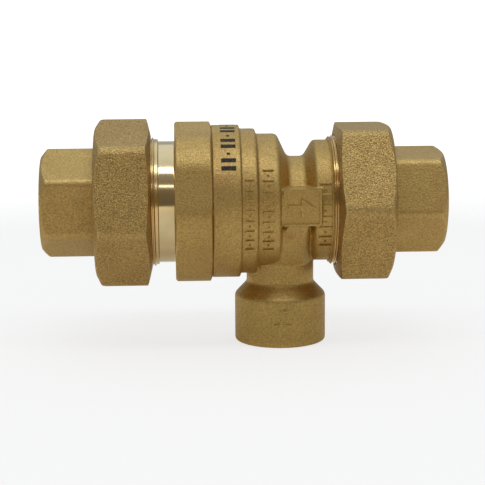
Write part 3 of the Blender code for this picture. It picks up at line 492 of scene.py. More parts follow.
def tailpiece(name, node, body, flat_above_front, outlet):
    """A forged hexagonal tail with a taper pipe thread and a turned collar inside the nut."""
    collar_x = TAIL_END_X - 3.4 * MM
    collar_r = 17.2 * MM
    floor_x = PIPE_DEPTH
    thread_end_x = floor_x - 1.2 * MM
    outside = refined(filleted([
        (0.0, PIPE_MOUTH_R, 0), (0.0, 13.2 * MM, 0.4 * MM), (1.8 * MM, 15.5 * MM, 0.8 * MM),
        (3.0 * MM, TAIL_CROWN_R, 0), (collar_x - 1.2 * MM, TAIL_CROWN_R, 0), (collar_x, 16.2 * MM, 0),
        (collar_x, collar_r, 0.25 * MM), (TAIL_END_X, collar_r, 0.4 * MM),
        (TAIL_END_X, TAIL_SEAT_R, 0)]), 0.35 * MM)
    hexagon = hexagonal(TAIL_FLATS, TAIL_CORNER_R, flat_above_front, 0.5 * MM)

    def shape(x, r, turn):
        inlet_x = FLOW_LENGTH - x if outlet else x
        return hexagon(x, r, turn) if inlet_x < collar_x - 1e-7 else np.full_like(turn, r)

    inside = filleted([
        (TAIL_END_X, TAIL_SEAT_R, 0), (TAIL_END_X, WATERWAY_R, 0.3 * MM), (floor_x, WATERWAY_R, 0.3 * MM),
        (thread_end_x, PIPE_MINOR_R - PIPE_TAPER * thread_end_x, 0)])
    low, high = span(0.0, thread_end_x, outlet)

    def minor(x):
        return PIPE_MINOR_R - PIPE_TAPER * (high - x if outlet else x - low)

    def mouth(x, r):
        return np.maximum(r, PIPE_MOUTH_R - (high - x if outlet else x - low))

    thread = thread_band(low, high, PIPE_PITCH, FINE, minor, PIPE_GROOVE, 1.6 * PIPE_PITCH, mouth)
    made = surface(name, [turned_band(at_end(outside, outlet), FINE, shape),
                          turned_band(at_end(inside, outlet), FINE), thread])
    settle(made, body, [node], TAIL_BRASS)


union_nut("inlet_nut_forging", "inlet_union_nut", "inlet_nut", flat_above_front=16, outlet=False)
union_nut("outlet_nut_forging", "outlet_union_nut", "outlet_nut", flat_above_front=30, outlet=True)
tailpiece("inlet_tail_forging", "inlet_tailpiece", "inlet_tail", flat_above_front=0, outlet=False)
tailpiece("outlet_tail_forging", "outlet_tailpiece", "outlet_tail", flat_above_front=21.5, outlet=True)


# ---- inlet cap ----
def male_thread(face_x, back_x):
    """Rows of a male union thread whose free end, with a chamfer, is at face_x."""
    low, high = min(face_x, back_x), max(face_x, back_x)

    def chamfer(x, r):
        return np.minimum(r, UNION_MINOR_R - 0.25 * MM + np.abs(x - face_x))

    return thread_band(low, high, UNION_PITCH, FINE, lambda x: np.full_like(x, UNION_MINOR_R),
                       UNION_DEPTH, 0.6 * UNION_PITCH, chamfer)


def inlet_cap():
    """The cap in three finishes: turned thread, polished neck and forged collar, on one spigot."""
    thread_end_x = CAP_X + UNION_THREAD_LENGTH
    collar_x = thread_end_x + 5.2 * MM
    seam_x = BODY_X - 0.04 * MM
    neck_r = 17.2 * MM
    collar_r = 22.75 * MM
    crown_r = collar_r + 0.4 * MM
    spigot_r, root_r, chamber_r, groove_r = (r * MM for r in (18.0, 17.0, 14.0, 14.7))
    edge = 0.6 * MM
    groove_x = SPIGOT_END_X - 1.6 * MM
    strainer_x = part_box("strainer_screen")[0].x
    seat_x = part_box("first_check_seat")[0].x - GAP
    face = [(CAP_X, 12.4 * MM), (CAP_X, UNION_MINOR_R - 0.25 * MM)]
    neck = filleted([
        (thread_end_x, UNION_MINOR_R, 0), (thread_end_x + 0.5 * MM, UNION_MINOR_R, 0.1 * MM),
        (thread_end_x + 0.7 * MM, neck_r, 0.15 * MM), (collar_x, neck_r, 0.35 * MM),
        (collar_x, neck_r + 1.2 * MM, 0)])
    collar = refined(filleted([
        (collar_x, neck_r + 1.2 * MM, 0), (collar_x, collar_r - edge, 0.3 * MM),
        (collar_x + edge * 1.2, crown_r, 0.4 * MM), (collar_x + 2 * MM, crown_r, 0),
        (seam_x - 2 * MM, crown_r, 0), (seam_x - edge, crown_r, 0.5 * MM),
        (seam_x, collar_r - 1.1 * MM, 0.15 * MM), (seam_x, root_r, 0)]), 0.3 * MM)
    flats = hexagonal(43.4 * MM, 0.5 * MM, 17, 0.9 * MM)

    def shape(x, r, turn):
        return soft_min(flats(x, r, turn), np.full_like(turn, collar_r), 0.4 * MM)

    spigot_x = BODY_X + 2.3 * MM
    inside = filleted([
        (seam_x, root_r, 0), (spigot_x, root_r, 0), (spigot_x, spigot_r, 0.2 * MM),
        (SPIGOT_END_X, spigot_r, 0.3 * MM), (SPIGOT_END_X, chamber_r, 0.2 * MM),
        (groove_x + 1.4 * MM, chamber_r, 0), (groove_x + 1.4 * MM, groove_r, 0), (groove_x, groove_r, 0),
        (groove_x, chamber_r, 0), (seat_x, chamber_r, 0.2 * MM), (seat_x, 10.0 * MM, 0.2 * MM),
        (strainer_x, 10.0 * MM, 0.1 * MM), (strainer_x, 12.0 * MM, 0.2 * MM),
        (CAP_X + 0.4 * MM, 12.0 * MM, 0), (CAP_X, 12.4 * MM, 0)])
    bands = [turned_band(face, FINE), male_thread(CAP_X, thread_end_x), turned_band(neck, FINE),
             turned_band(collar, FINE, shape), turned_band(inside, FINE)]
    made = surface("inlet_cap_forging", bands)
    settle(made, "valve", ["inlet_cap"], TAIL_BRASS)
    made.data.materials.append(CUT_BRASS)
    made.data.materials.append(POLISHED_BRASS)
    for polygon in made.data.polygons:
        x, y, z = polygon.center
        r = math.hypot(y, z)
        if x < thread_end_x + 0.6 * MM or x > seam_x or r < 16.0 * MM:
            polygon.material_index = 1
        elif x < collar_x + 0.01 * MM and r < neck_r + 1.3 * MM:
            polygon.material_index = 2


inlet_cap()


# ---- valve body ----
BARREL_R = 21.7 * MM
BARREL_END_X = BODY_X + 7.9 * MM
STEP_R = 20.6 * MM
STEP_END_X = BARREL_END_X + 4.6 * MM
SHOULDER_R = 19.1 * MM
SHOULDER_END_X = STEP_END_X + 6.0 * MM
NECK_R = 12.65 * MM
NECK_X = SHOULDER_END_X + 3.0 * MM
NECK_END_X = NECK_X + 4.6 * MM
COLLAR_X = NECK_END_X + 2.8 * MM
COLLAR_R = 17.2 * MM
THREAD_X = BODY_END_X - UNION_THREAD_LENGTH
VENT_BOSS_R = 13.0 * MM
CHAMBER_END_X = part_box("vent_diaphragm")[1].x + 6.2 * MM
OUTLET_BORE_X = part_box("second_check_seat")[0].x - GAP
VENT_NECK_R = 9.6 * MM
VENT_THREAD_DEPTH = 13.0 * MM
PAD_Y = 18.0 * MM
PAD_X = SHOULDER_END_X + 0.9 * MM
PAD_LENGTH = 10.7 * MM
PAD_BOTTOM = -4.6 * MM
PAD_TOP = 5.6 * MM
MARK_HEIGHT = 0.52 * MM
MARK_STROKE = 0.36  # share of a mark's pitch
MARK_TAPER = 0.12 * MM


def turn_down(made, x):
    """Turns a piece made along the flow axis to point down from the axis at x."""
    made.data.transform(Matrix.Translation((x, 0, 0)) @ Matrix.Rotation(math.pi / 2, 4, "Y"))


def block(low, high):
    bm = bmesh.new()
    bmesh.ops.create_cube(bm, size=1.0)
    bmesh.ops.scale(bm, vec=[b - a for a, b in zip(low, high)], verts=bm.verts)
    bmesh.ops.translate(bm, vec=[(a + b) / 2 for a, b in zip(low, high)], verts=bm.verts)
    return mesh_object("block", bm)


def mesh_object(name, bm):
    mesh = bpy.data.meshes.new(name)
    bmesh.ops.recalc_face_normals(bm, faces=bm.faces)
    bm.to_mesh(mesh)
    bm.free()
    made = bpy.data.objects.new(name, mesh)
    bpy.context.scene.collection.objects.link(made)
    return made


def arc_bar(x0, x1, low_turn, high_turn, root_r, top_r):
    """A bar that lies on a round surface, from low_turn to high_turn degrees above the front."""
    steps = max(2, math.ceil((high_turn - low_turn) / 2))
    bm = bmesh.new()
    rows = []
    for step in range(steps + 1):
        turn = math.radians(low_turn + (high_turn - low_turn) * step / steps)
        section = ((x0, root_r), (x1, root_r), (x1 - MARK_TAPER, top_r), (x0 + MARK_TAPER, top_r))
        rows.append([bm.verts.new((x, -r * math.cos(turn), r * math.sin(turn))) for x, r in section])
    for row, following in zip(rows, rows[1:]):
        for side in range(4):
            after = (side + 1) % 4
            bm.faces.new((row[side], row[after], following[after], following[side]))
    bm.faces.new(rows[0])
    bm.faces.new(rows[-1])
    return mesh_object("bar", bm)


def tally(x0, x1, first_turn, last_turn, surface_r, count):
    """Raised cast tally marks round a shoulder: plain bars with a dot between each two."""
    pitch = (last_turn - first_turn) / count
    middle = (x0 + x1) / 2
    dot = 0.11 * (x1 - x0)
    bars = []
    for place in range(count):
        low = first_turn + pitch * place
        reach = dot if place % 2 else (x1 - x0) / 2
        bars.append(arc_bar(middle - reach, middle + reach, low, low + MARK_STROKE * pitch,
                            surface_r - 0.5 * MM, surface_r + MARK_HEIGHT))
    return bars


def flow_arrow(side):
    """A raised border and a plain arrow along the flow, on the pad of one side."""
    outer = side * (PAD_Y + MARK_HEIGHT)
    root = side * (PAD_Y - 0.5 * MM)
    near, far = min(root, outer), max(root, outer)
    end_x = PAD_X + PAD_LENGTH
    rim = 0.65 * MM
    middle = (PAD_BOTTOM + PAD_TOP) / 2
    shapes = [block((PAD_X, near, PAD_TOP - rim), (end_x, far, PAD_TOP)),
              block((PAD_X, near, PAD_BOTTOM), (end_x, far, PAD_BOTTOM + rim)),
              block((end_x - rim, near, PAD_BOTTOM), (end_x, far, PAD_TOP)),
              block((PAD_X + 1.3 * MM, near, middle - 0.8 * MM), (PAD_X + 5.2 * MM, far, middle + 0.8 * MM))]
    bm = bmesh.new()
    for y in (near, far):
        for x, z in ((4.9, -2.7), (4.9, 2.7), (9.0, 0.0)):
            bm.verts.new((PAD_X + x * MM, y, middle + z * MM))
    bmesh.ops.convex_hull(bm, input=bm.verts)
    made = mesh_object("arrow_head", bm)
    for shape in shapes:
        combine(made, shape, "UNION")
    return made


def vent_arrow():
    """A plain arrow on the front of the vent's boss that points the way the vent drains."""
    near, far = -(VENT_BOSS_R + 0.35 * MM), -(VENT_BOSS_R - 1.0 * MM)
    start, neck, tip = (VENT_Z + drop * MM for drop in (11.0, 7.0, 3.0))
    bm = bmesh.new()
    for y in (near, far):
        for x, z in ((-2.6 * MM, neck), (2.6 * MM, neck), (0.0, tip)):
            bm.verts.new((VENT_X + x, y, z))
    bmesh.ops.convex_hull(bm, input=bm.verts)
    made = mesh_object("vent_arrow", bm)
    half = 0.85 * MM
    combine(made, block((VENT_X - half, near, neck - 0.5 * MM), (VENT_X + half, far, start)), "UNION")
    return made


def gusset(side):
    """The rib from a pad down to the vent's neck."""
    bm = bmesh.new()
    root = side * NECK_R * 0.85
    middle = PAD_X + 4.4 * MM
    for x in (middle - 2.7 * MM, middle + 2.7 * MM):
        for y in (root, side * PAD_Y * 0.97):
            bm.verts.new((x, y, PAD_BOTTOM + GAP))
    foot_r = 9.3 * MM
    for step in range(13):
        turn = math.radians(12 + 156 * step / 12)
        bm.verts.new((VENT_X - foot_r * math.cos(turn), side * foot_r * math.sin(turn), -18 * MM))
    hull = bmesh.ops.convex_hull(bm, input=bm.verts)
    bmesh.ops.delete(bm, geom=hull["geom_interior"], context="VERTS")
    return mesh_object("gusset", bm)


def body_solid():
    """The whole forging before any bore is cut."""
    made = surface("valve_body_forging", [turned_band(refined(filleted([
        (BODY_X, 0.0, 0), (BODY_X, BARREL_R, 0.3 * MM), (BARREL_END_X, BARREL_R, 0.25 * MM),
        (BARREL_END_X, STEP_R, 0.3 * MM), (STEP_END_X, STEP_R, 1.1 * MM),
        (STEP_END_X, SHOULDER_R, 0.5 * MM), (SHOULDER_END_X, SHOULDER_R, 1.5 * MM),
        (NECK_X, NECK_R, 1.8 * MM), (NECK_END_X, NECK_R, 1.8 * MM),
        (COLLAR_X, COLLAR_R, 1.3 * MM), (THREAD_X, COLLAR_R, 0.2 * MM),
        (THREAD_X + 0.2 * MM, 17.0 * MM, 0), (BODY_END_X - 0.2 * MM, 17.0 * MM, 0),
        (BODY_END_X - 0.2 * MM, 0.0, 0)]), 0.8 * MM), FINE)])
    drop = -VENT_Z
    vent = surface("vent", [turned_band(refined(filleted([
        (10.0 * MM, 0.0, 0), (10.0 * MM, VENT_NECK_R, 0), (23.3 * MM, VENT_NECK_R, 1.6 * MM),
        (26.9 * MM, VENT_BOSS_R, 1.6 * MM), (drop, VENT_BOSS_R, 0.9 * MM),
        (drop, 0.0, 0)]), 0.8 * MM), FINE)])
    turn_down(vent, VENT_X)
    combine(made, vent, "UNION")
    for side in (-1, 1):
        root, plane = side * NECK_R * 0.85, side * PAD_Y
        combine(made, block((PAD_X, min(root, plane), PAD_BOTTOM),
                            (PAD_X + PAD_LENGTH, max(root, plane), PAD_TOP)), "UNION")
        combine(made, gusset(side), "UNION")
    return made


def raised_marks():
    """All the raised marks as one mesh of separate solids."""
    marks = [flow_arrow(-1), flow_arrow(1), vent_arrow()]
    marks += tally(BARREL_END_X + 0.9 * MM, STEP_END_X - 1.1 * MM, -33, 28, STEP_R, 15)
    marks += tally(STEP_END_X + 1.2 * MM, SHOULDER_END_X - 1.5 * MM, -38, 38, SHOULDER_R, 17)
    marks += tally(COLLAR_X + 0.5 * MM, THREAD_X - 0.5 * MM, -40, 28, COLLAR_R, 13)
    bm = bmesh.new()
    for mark in marks:
        bm.from_mesh(mark.data)
        bpy.data.objects.remove(mark, do_unlink=True)
    return mesh_object("marks", bm)


def remeshed(made, voxel, rounds):
    """The same solid in even faces, with its edges softened as on a forging."""
    step = made.modifiers.new("voxels", "REMESH")
    step.mode = "VOXEL"
    step.voxel_size = voxel
    smooth = made.modifiers.new("soften", "SMOOTH")
    smooth.factor = 0.5
    smooth.iterations = rounds
    apply_modifiers(made)


def flow_cutter():
    """Everything that is bored along the flow axis."""
    shoulder_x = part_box("vent_diaphragm")[1].x + GAP
    spigot_end_x = SPIGOT_END_X + GAP
    nozzle_x = shoulder_x + 1.4 * MM
    chamber_end_x = shoulder_x + 5.7 * MM
    groove_end_x = BODY_END_X - 0.4 * MM
    groove_x = groove_end_x - 1.4 * MM
    start_x, end_x = BODY_X - 1.0 * MM, BODY_END_X + 1.0 * MM
    socket_x, socket_r, spigot_r, clamp_r = BODY_X + 2.3 * MM, 19.4 * MM, 18.3 * MM, 16.9 * MM
    chamber_r, nozzle_r, bore_r, groove_r = 13.2 * MM, 8.0 * MM, 12.2 * MM, 12.9 * MM
    return surface("flow_cutter", [turned_band(filleted([
        (start_x, 0.0, 0), (start_x, socket_r, 0), (socket_x, socket_r, 0),
        (socket_x, spigot_r, 0), (spigot_end_x, spigot_r, 0), (spigot_end_x, clamp_r, 0),
        (shoulder_x, clamp_r, 0), (shoulder_x, chamber_r, 0.3 * MM), (chamber_end_x, chamber_r, 0.5 * MM),
        (chamber_end_x, 10.0 * MM, 0.5 * MM), (nozzle_x, 9.6 * MM, 0.2 * MM), (nozzle_x, nozzle_r, 0.3 * MM),
        (OUTLET_BORE_X, nozzle_r, 0.3 * MM), (OUTLET_BORE_X, bore_r, 0.2 * MM), (groove_x, bore_r, 0),
        (groove_x, groove_r, 0), (groove_end_x, groove_r, 0), (groove_end_x, bore_r, 0),
        (end_x, bore_r, 0), (end_x, 0.0, 0)]), FINE)])


def vent_cutter():
    """The vent's taper pipe thread and the passage up to the vent chamber."""
    drop = -VENT_Z
    past = 1.0 * MM
    top = 11.6 * MM
    passage_r = 4.6 * MM
    floor = drop - VENT_THREAD_DEPTH
    thread_start = floor + 1.0 * MM

    def minor(x):
        return PIPE_MINOR_R - PIPE_TAPER * (drop - x)

    def mouth(x, r):
        return np.maximum(r, PIPE_MOUTH_R - (drop - x))

    inner = [(top, 0.0), (top, passage_r), (floor, passage_r), (floor, 8.3 * MM),
             (thread_start, minor(thread_start))]
    thread = thread_band(thread_start, drop, PIPE_PITCH, FINE, minor, PIPE_GROOVE, 1.6 * PIPE_PITCH, mouth)
    outer = [(drop, PIPE_MOUTH_R), (drop + past, PIPE_MOUTH_R + past), (drop + past, 0.0)]
    made = surface("vent_cutter", [turned_band(inner, FINE), thread, turned_band(outer, FINE)])
    turn_down(made, VENT_X)
    return made


def outlet_thread():
    """The body's male union thread as a ring that overlaps the forging."""
    start_x = THREAD_X - 0.4 * MM
    inner_r = 15.0 * MM
    ring = [(BODY_END_X, UNION_MINOR_R - 0.25 * MM), (BODY_END_X, inner_r), (start_x, inner_r),
            (start_x, UNION_MINOR_R)]
    return surface("outlet_thread", [male_thread(BODY_END_X, start_x), turned_band(ring, FINE)])


def is_machined(x, y, z):
    """Whether a place on the body is bored, faced or threaded, and not as forged."""
    r = math.hypot(y, z)
    vent_r = math.hypot(x - VENT_X, y)
    if z < VENT_Z + VENT_THREAD_DEPTH + 0.2 * MM and vent_r < 11.0 * MM or z < VENT_Z + 0.05 * MM:
        return True
    if z < -8.0 * MM and vent_r < 5.0 * MM or x > THREAD_X + 0.3 * MM and r > 16.9 * MM:
        return True
    if x > OUTLET_BORE_X:
        return r < 12.5 * MM or x > BODY_END_X - 3.0 * MM and r < 13.0 * MM
    if x > CHAMBER_END_X:
        return r < 10.2 * MM
    if x > SPIGOT_END_X + 2.0 * MM:
        return r < 16.95 * MM and x < SHOULDER_END_X - 3.0 * MM or r < 12.0 * MM
    return r < 19.5 * MM and x > BODY_X + 0.1 * MM


def valve_body():
    made = body_solid()
    remeshed(made, (0.28) * MM, 2)
    marks = raised_marks()
    remeshed(marks, (0.14) * MM, 1)
    combine(made, marks, "UNION")
    combine(made, outlet_thread(), "UNION")
    combine(made, flow_cutter(), "DIFFERENCE")
    combine(made, vent_cutter(), "DIFFERENCE")
    settle(made, "valve", ["valve_body"], BODY_BRASS)
    made.data.materials.append(CUT_BRASS)
    for polygon in made.data.polygons:
        polygon.material_index = int(is_machined(*polygon.center))


valve_body()

# ---- ink ----
def ink_marks():
    """A plain printed row of dashes and dots over the top of the barrel."""
    x0, x1 = BODY_X + 2.4 * MM, BODY_X + 6.5 * MM
    middle = (x0 + x1) / 2
    bm = bmesh.new()
    top_r = BARREL_R + 0.02 * MM
    for place in range(15):
        low = 31 + 6.6 * place
        reach = 0.45 * MM if place % 3 == 2 else (x1 - x0) / 2
        width = 2.0 if place % 3 == 2 else 3.6
        for step in range(3):
            turns = [math.radians(low + width * (step + k) / 3) for k in (0, 1)]
            bm.faces.new([bm.verts.new((x, -top_r * math.cos(turn), top_r * math.sin(turn)))
                          for x, turn in ((middle - reach, turns[0]), (middle + reach, turns[0]),
                                          (middle + reach, turns[1]), (middle - reach, turns[1]))])
    bmesh.ops.remove_doubles(bm, verts=bm.verts, dist=WELD)
    top = bmesh.ops.extrude_face_region(bm, geom=bm.faces[:])
    for vert in (item for item in top["geom"] if isinstance(item, bmesh.types.BMVert)):
        scale = (top_r - 0.12 * MM) / top_r
        vert.co.y *= scale
        vert.co.z *= scale
    settle(mesh_object("barrel_ink_marks", bm), "valve", [], INK)


ink_marks()


# ---- inner pieces ----
BEHAVIOUR = frame["record"]["behaviour"]
BODY_OF = {node: body for body, nodes in BEHAVIOUR["bodies"].items() for node in nodes}
SLOT_OF = {part["node"]: part["material_slot"] for part in frame["record"]["subparts"]}
PAINT_OF = {"turned_brass": CUT_BRASS, "stainless_steel": STEEL, "black_rubber": RUBBER,
            "white_acetal": ACETAL}


def turned_profile(node):
    """The (x, radius) corners of a turned CAD node, in order round its section.

    Each triangle of a turned surface joins just two of its rings, so those pairs are the section.
    """
    rings, ring_of = [], []
    for vert in frame["nodes"][node].data.vertices:
        x, r = vert.co.x, math.hypot(vert.co.y, vert.co.z)
        same = [place for place, ring in enumerate(rings) if math.dist(ring, (x, r)) < 0.01 * MM]
        if not same:
            rings.append((x, r))
        ring_of.append(same[0] if same else len(rings) - 1)
    near = {place: set() for place in range(len(rings))}
    for polygon in frame["nodes"][node].data.polygons:
        pair = {ring_of[vert] for vert in polygon.vertices}
        if len(pair) == 2:
            a, b = pair
            near[a].add(b)
            near[b].add(a)
    ends = sorted((place for place in near if len(near[place]) == 1), key=lambda place: rings[place])
    walk = [ends[0] if ends else 0]
    while True:
        onward = sorted(place for place in near[walk[-1]] if place not in walk)
        if not onward:
            break
        walk.append(onward[0])
    if ends:
        first, last = rings[walk[0]], rings[walk[-1]]
        return [(first[0], 0.0)] + [rings[place] for place in walk] + [(last[0], 0.0)], False
    return [rings[place] for place in walk], True


def fine_turned(node, fillet):
    """The same turned piece with filleted edges and a smooth round, in place of the CAD node."""
    corners, closed = turned_profile(node)
    if closed:
        (x0, r0), (x1, r1) = corners[0], corners[-1]
        middle = ((x0 + x1) / 2, (r0 + r1) / 2)
        corners = [middle] + corners + [middle]
    line = filleted([(x, r, fillet) for x, r in corners], 4)
    if closed:
        line[-1] = line[0]
    made = surface("fine_" + node, [turned_band(line, BORE)])
    settle(made, BODY_OF[node], [node], PAINT_OF[SLOT_OF[node]])


for name in ("strainer_ring", "first_check_seat", "second_check_seat", "first_check_poppet",
             "second_check_poppet", "diaphragm_clamp_ring", "vent_hub", "vent_hub_retainer"):
    fine_turned(name, 0.2 * MM)
for name in ("first_check_seal_disc", "second_check_seal_disc", "inlet_union_gasket", "outlet_union_gasket"):
    fine_turned(name, 0.35 * MM)


def o_ring(node):
    """A round-section ring that fills its node's box."""
    low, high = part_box(node)
    section_r = (high.x - low.x) / 2
    centre_r = high.y - section_r
    line = [(low.x + section_r - section_r * math.cos(turn), centre_r + section_r * math.sin(turn))
            for turn in angles(20)]
    made = surface("fine_" + node, [turned_band(line + line[:1], BORE)])
    settle(made, "valve", [node], RUBBER)


for name in ("cap_o_ring", "first_check_o_ring", "second_check_o_ring"):
    o_ring(name)


DIAPHRAGM_SECTORS = 12


def diaphragm():
    """The rubber disc, whose web stretches from its clamped rim to its hub.

    It is made in sectors that meet along their radii, with the web lifted slightly between rim and hub.
    """
    low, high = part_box("vent_diaphragm")
    rim_r, rim_inner_r, hole_r = high.y, 13.6 * MM, 6.3 * MM
    web = 1.0 * MM
    front_x = low.x + 0.6 * MM
    fold = [(rim_inner_r - 0.3 * MM - (rim_inner_r - hole_r - 0.8 * MM) * k / 24) for k in range(25)]
    lift = [0.16 * MM * math.sin(math.pi * k / 24) for k in range(25)]
    near = [(front_x - up, r) for up, r in zip(lift, fold)]
    far = [(front_x + web - up, r) for up, r in zip(lift, fold)]
    corners = ([(low.x, rim_inner_r, 0.2 * MM), (low.x, rim_r, 0.2 * MM), (high.x, rim_r, 0.2 * MM),
                (high.x, rim_inner_r, 0.2 * MM)])
    line = filleted([near[0] + (0,)] + corners + [far[0] + (0,)], 4)
    line += far[1:] + [(front_x + web, hole_r), (front_x, hole_r)] + near[:0:-1]
    for sector in range(DIAPHRAGM_SECTORS):
        bm = bmesh.new()
        steps = 8
        loops = []
        for step in range(steps + 1):
            turn = 2 * math.pi * (sector + step / steps) / DIAPHRAGM_SECTORS
            loops.append([bm.verts.new((x, r * math.cos(turn), r * math.sin(turn))) for x, r in line])
        for loop, following in zip(loops, loops[1:]):
            for place in range(len(line)):
                after = (place + 1) % len(line)
                bm.faces.new((loop[place], loop[after], following[after], following[place]))
        bm.faces.new(loops[0])
        bm.faces.new(loops[-1])
        made = mesh_object(f"vent_diaphragm_sector_{sector + 1:02d}", bm)
        settle(made, None, ["vent_diaphragm"], RUBBER, 60)
        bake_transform(made)


diaphragm()


def spring(node):
    """A round wire spring with closed end turns."""
    low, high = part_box(node)
    wire_r = 0.45 * MM
    mean_r = 6.2 * MM if node.startswith("first") else 4.6 * MM
    turns, steps_a_turn, sides = 5, 40, 10
    steps = turns * steps_a_turn
    travel = high.x - low.x - 2 * wire_r
    bend = angles(sides)
    rows = []
    for step in range(steps + 1):
        share = step / steps
        turn = 2 * math.pi * turns * share
        eased = 0.6 * share + 0.4 * (share - math.sin(2 * math.pi * share) / (2 * math.pi))
        x = low.x + wire_r + travel * eased + wire_r * np.cos(bend)
        rows.append(round_points(x, mean_r + wire_r * np.sin(bend), np.full(sides, turn)))
    ends = [np.repeat(row.mean(axis=0)[None, :], sides, axis=0) for row in (rows[0], rows[-1])]
    made = surface("fine_" + node, [(np.array([ends[0]] + rows + [ends[1]]), 0)])
    settle(made, "valve", [node], STEEL, 60)
    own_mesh(made)


spring("first_check_spring")
spring("second_check_spring")


def retainer(node):
    """The slotted screw that holds a seal disc."""
    low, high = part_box(node)
    head_x = low.x + 1.2 * MM
    head = surface("fine_" + node, [turned_band(filleted([
        (low.x, 0.0, 0), (low.x, 3.4 * MM, 0.3 * MM), (low.x + 0.4 * MM, 3.8 * MM, 0.2 * MM),
        (head_x, 3.8 * MM, 0.1 * MM), (head_x, 1.3 * MM, 0.1 * MM), (high.x, 1.3 * MM, 0.3 * MM),
        (high.x, 0.0, 0)], 4), BORE)])
    slot_half = 0.475 * MM
    cutter = block((low.x - 1 * MM, -slot_half, -5 * MM), (low.x + 0.4 * MM, slot_half, 5 * MM))
    combine(head, cutter, "DIFFERENCE")
    settle(head, BODY_OF[node], [node], STEEL)


retainer("first_check_retainer")
retainer("second_check_retainer")


def strainer_cup():
    """A perforated steel cup: rows of round holes through its wall and its end."""
    low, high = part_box("strainer_screen")
    wall = 0.6 * MM
    cup_r = 8.2 * MM
    made = surface("fine_strainer_screen", [turned_band(filleted([
        (low.x, cup_r - wall, 0.15 * MM), (low.x, high.y, 0.15 * MM), (low.x + wall, high.y, 0.15 * MM),
        (low.x + wall, cup_r, 0.2 * MM), (high.x, cup_r, 0.4 * MM), (high.x, 0.0, 0)], 4), BORE),
        turned_band(filleted([(high.x - wall, 0.0, 0), (high.x - wall, cup_r - wall, 0.2 * MM),
                              (low.x, cup_r - wall, 0)], 4), BORE)])
    holes = bmesh.new()
    hole_r = 0.42 * MM

    def hole(place, direction, depth):
        turn = Vector((0, 0, 1)).rotation_difference(direction).to_matrix().to_4x4()
        bmesh.ops.create_cone(holes, cap_ends=True, segments=12, radius1=hole_r, radius2=hole_r, depth=depth,
                              matrix=Matrix.Translation(place) @ turn)

    for row in range(3):
        for column in range(36):
            turn = 2 * math.pi * (column + row / 2) / 36
            out = Vector((0, math.cos(turn), math.sin(turn)))
            hole(Vector((low.x + (1.75 + 1.25 * row) * MM, 0, 0)) + out * (cup_r - wall / 2), out, 3 * wall)
    for ring in range(6):
        count = max(1, 6 * ring)
        for column in range(count):
            turn = 2 * math.pi * (column + ring / 2) / count
            r = ring * 1.25 * MM
            place = Vector((high.x - wall / 2, r * math.cos(turn), r * math.sin(turn)))
            hole(place, Vector((1, 0, 0)), 3 * wall)
    combine(made, mesh_object("holes", holes), "DIFFERENCE")
    settle(made, "valve", ["strainer_screen"], STEEL)


strainer_cup()

for name, node in frame["nodes"].items():
    if not node.hide_render:
        for place in range(len(node.material_slots)):
            node.material_slots[place].material = PAINT_OF[SLOT_OF[name]]

# ---- floor, lights and camera ----
AIM = Vector((56.87 * MM, 0.0, -12.15 * MM))
AZIMUTH = math.radians(-2.264)
ELEVATION = math.radians(10.136)
ROLL = math.radians(-0.4)
DISTANCE = 464.5 * MM
LENS = 120.1
WHITE = (1.0, 1.0, 1.0)
COOL = (0.93, 1.0, 1.07)


def add_camera():
    back = Vector((math.sin(AZIMUTH) * math.cos(ELEVATION), -math.cos(AZIMUTH) * math.cos(ELEVATION),
                   math.sin(ELEVATION)))
    right = Vector((0, 0, 1)).cross(back).normalized()
    up = back.cross(right)
    side = right * math.cos(ROLL) + up * math.sin(ROLL)
    top = up * math.cos(ROLL) - right * math.sin(ROLL)
    data = bpy.data.cameras.new("camera")
    data.lens = LENS
    data.sensor_width = 36.0
    data.clip_start = 0.01
    data.clip_end = 20.0
    camera = bpy.data.objects.new("camera", data)
    bpy.context.scene.collection.objects.link(camera)
    turn = Matrix((side, top, back)).transposed().to_4x4()
    camera.matrix_world = Matrix.Translation(AIM + back * DISTANCE) @ turn
    bpy.context.scene.camera = camera


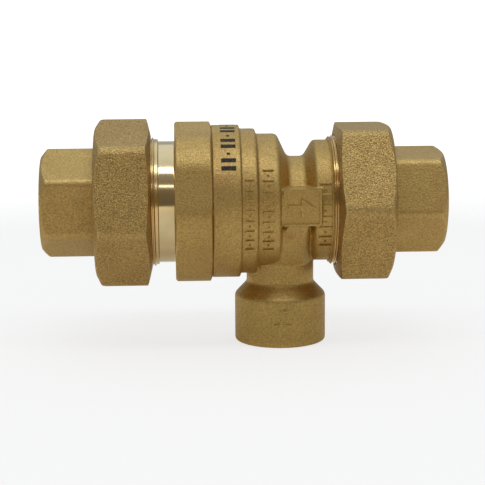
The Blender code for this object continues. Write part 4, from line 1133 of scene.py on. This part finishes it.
def add_floor():
    """A pale floor that turns into a plain white glow some way from the object."""
    bm = bmesh.new()
    bmesh.ops.create_circle(bm, cap_ends=True, segments=64, radius=6.0)
    floor = mesh_object("floor", bm)
    floor.location = (AIM.x, 0, VENT_Z - 0.05 * MM)
    made = bpy.data.materials.new("floor")
    made.use_nodes = True
    nodes = Nodes(made.node_tree)
    shader = made.node_tree.nodes["Principled BSDF"]
    shader.inputs["Roughness"].default_value = 0.9
    shader.inputs["Base Color"].default_value = (0.82, 0.80, 0.77, 1.0)
    distance = nodes.add("VectorMath", operation="LENGTH")
    nodes.link(nodes.add("TexCoord").outputs["Object"], distance.inputs[0])
    seen = nodes.add("LightPath").outputs["Is Camera Ray"]
    glow = nodes.add("Emission")
    nodes.link(nodes.mix(seen, (1.0, 0.91, 0.76), WHITE), glow.inputs["Color"])
    nodes.link(nodes.spread(seen, 0.0, 1.0, 0.72, 1.18), glow.inputs["Strength"])
    share = nodes.spread(distance.outputs["Value"], 0.05, 0.45, 0.36, 1.0)
    blend = nodes.add("MixShader")
    nodes.link(nodes.maths("MAXIMUM", share, nodes.maths("MULTIPLY", seen, 0.62)), blend.inputs[0])
    nodes.link(shader.outputs[0], blend.inputs[1])
    nodes.link(glow.outputs[0], blend.inputs[2])
    nodes.link(blend.outputs[0], made.node_tree.nodes["Material Output"].inputs["Surface"])
    floor.data.materials.append(made)


def add_world():
    """A dim room that is brighter above and behind. The camera sees plain white."""
    world = bpy.data.worlds.new("studio")
    world.use_nodes = True
    bpy.context.scene.world = world
    nodes = Nodes(world.node_tree)
    ground = world.node_tree.nodes["Background"]
    direction = nodes.add("TexCoord").outputs["Generated"]
    split = nodes.add("SeparateXYZ")
    nodes.link(direction, split.inputs[0])
    behind = nodes.spread(split.outputs["Y"], -0.9, 0.6, 0.11, 0.40)
    above = nodes.spread(split.outputs["Z"], 0.0, 1.0, 0.0, 0.12)
    seen = nodes.add("LightPath").outputs["Is Camera Ray"]
    level = nodes.maths("MAXIMUM", nodes.maths("ADD", behind, above), seen)
    nodes.link(level, ground.inputs["Strength"])
    warmth = nodes.mix(nodes.spread(split.outputs["Y"], -0.9, -0.2), (1.0, 0.82, 0.58), (0.94, 1.0, 1.06))
    nodes.link(nodes.mix(seen, warmth, WHITE), ground.inputs["Color"])


def add_light(name, elevation, azimuth, distance, size, power, colour=WHITE):
    """A rectangular soft light, aimed at the object. Azimuth 0 is the front, 90 the right."""
    data = bpy.data.lights.new(name, "AREA")
    data.shape = "RECTANGLE"
    data.size, data.size_y = size
    data.energy = power
    data.color = colour
    light = bpy.data.objects.new(name, data)
    bpy.context.scene.collection.objects.link(light)
    up, round_ = math.radians(elevation), math.radians(azimuth)
    away = Vector((math.sin(round_) * math.cos(up), -math.cos(round_) * math.cos(up), math.sin(up)))
    light.location = AIM + away * distance
    light.rotation_mode = "QUATERNION"
    light.rotation_quaternion = away.to_track_quat("Z", "X" if elevation > 80 else "Y")


add_camera()
add_floor()
add_world()
add_light("top_strip", elevation=70, azimuth=0, distance=0.9, size=(1.4, 0.2), power=2.2, colour=COOL)
add_light("overhead", elevation=108, azimuth=0, distance=1.0, size=(1.6, 0.9), power=1.6, colour=COOL)
add_light("front_line", elevation=38, azimuth=0, distance=1.0, size=(1.4, 0.06), power=0.6)
bpy.context.scene.view_settings.view_transform = "Standard"
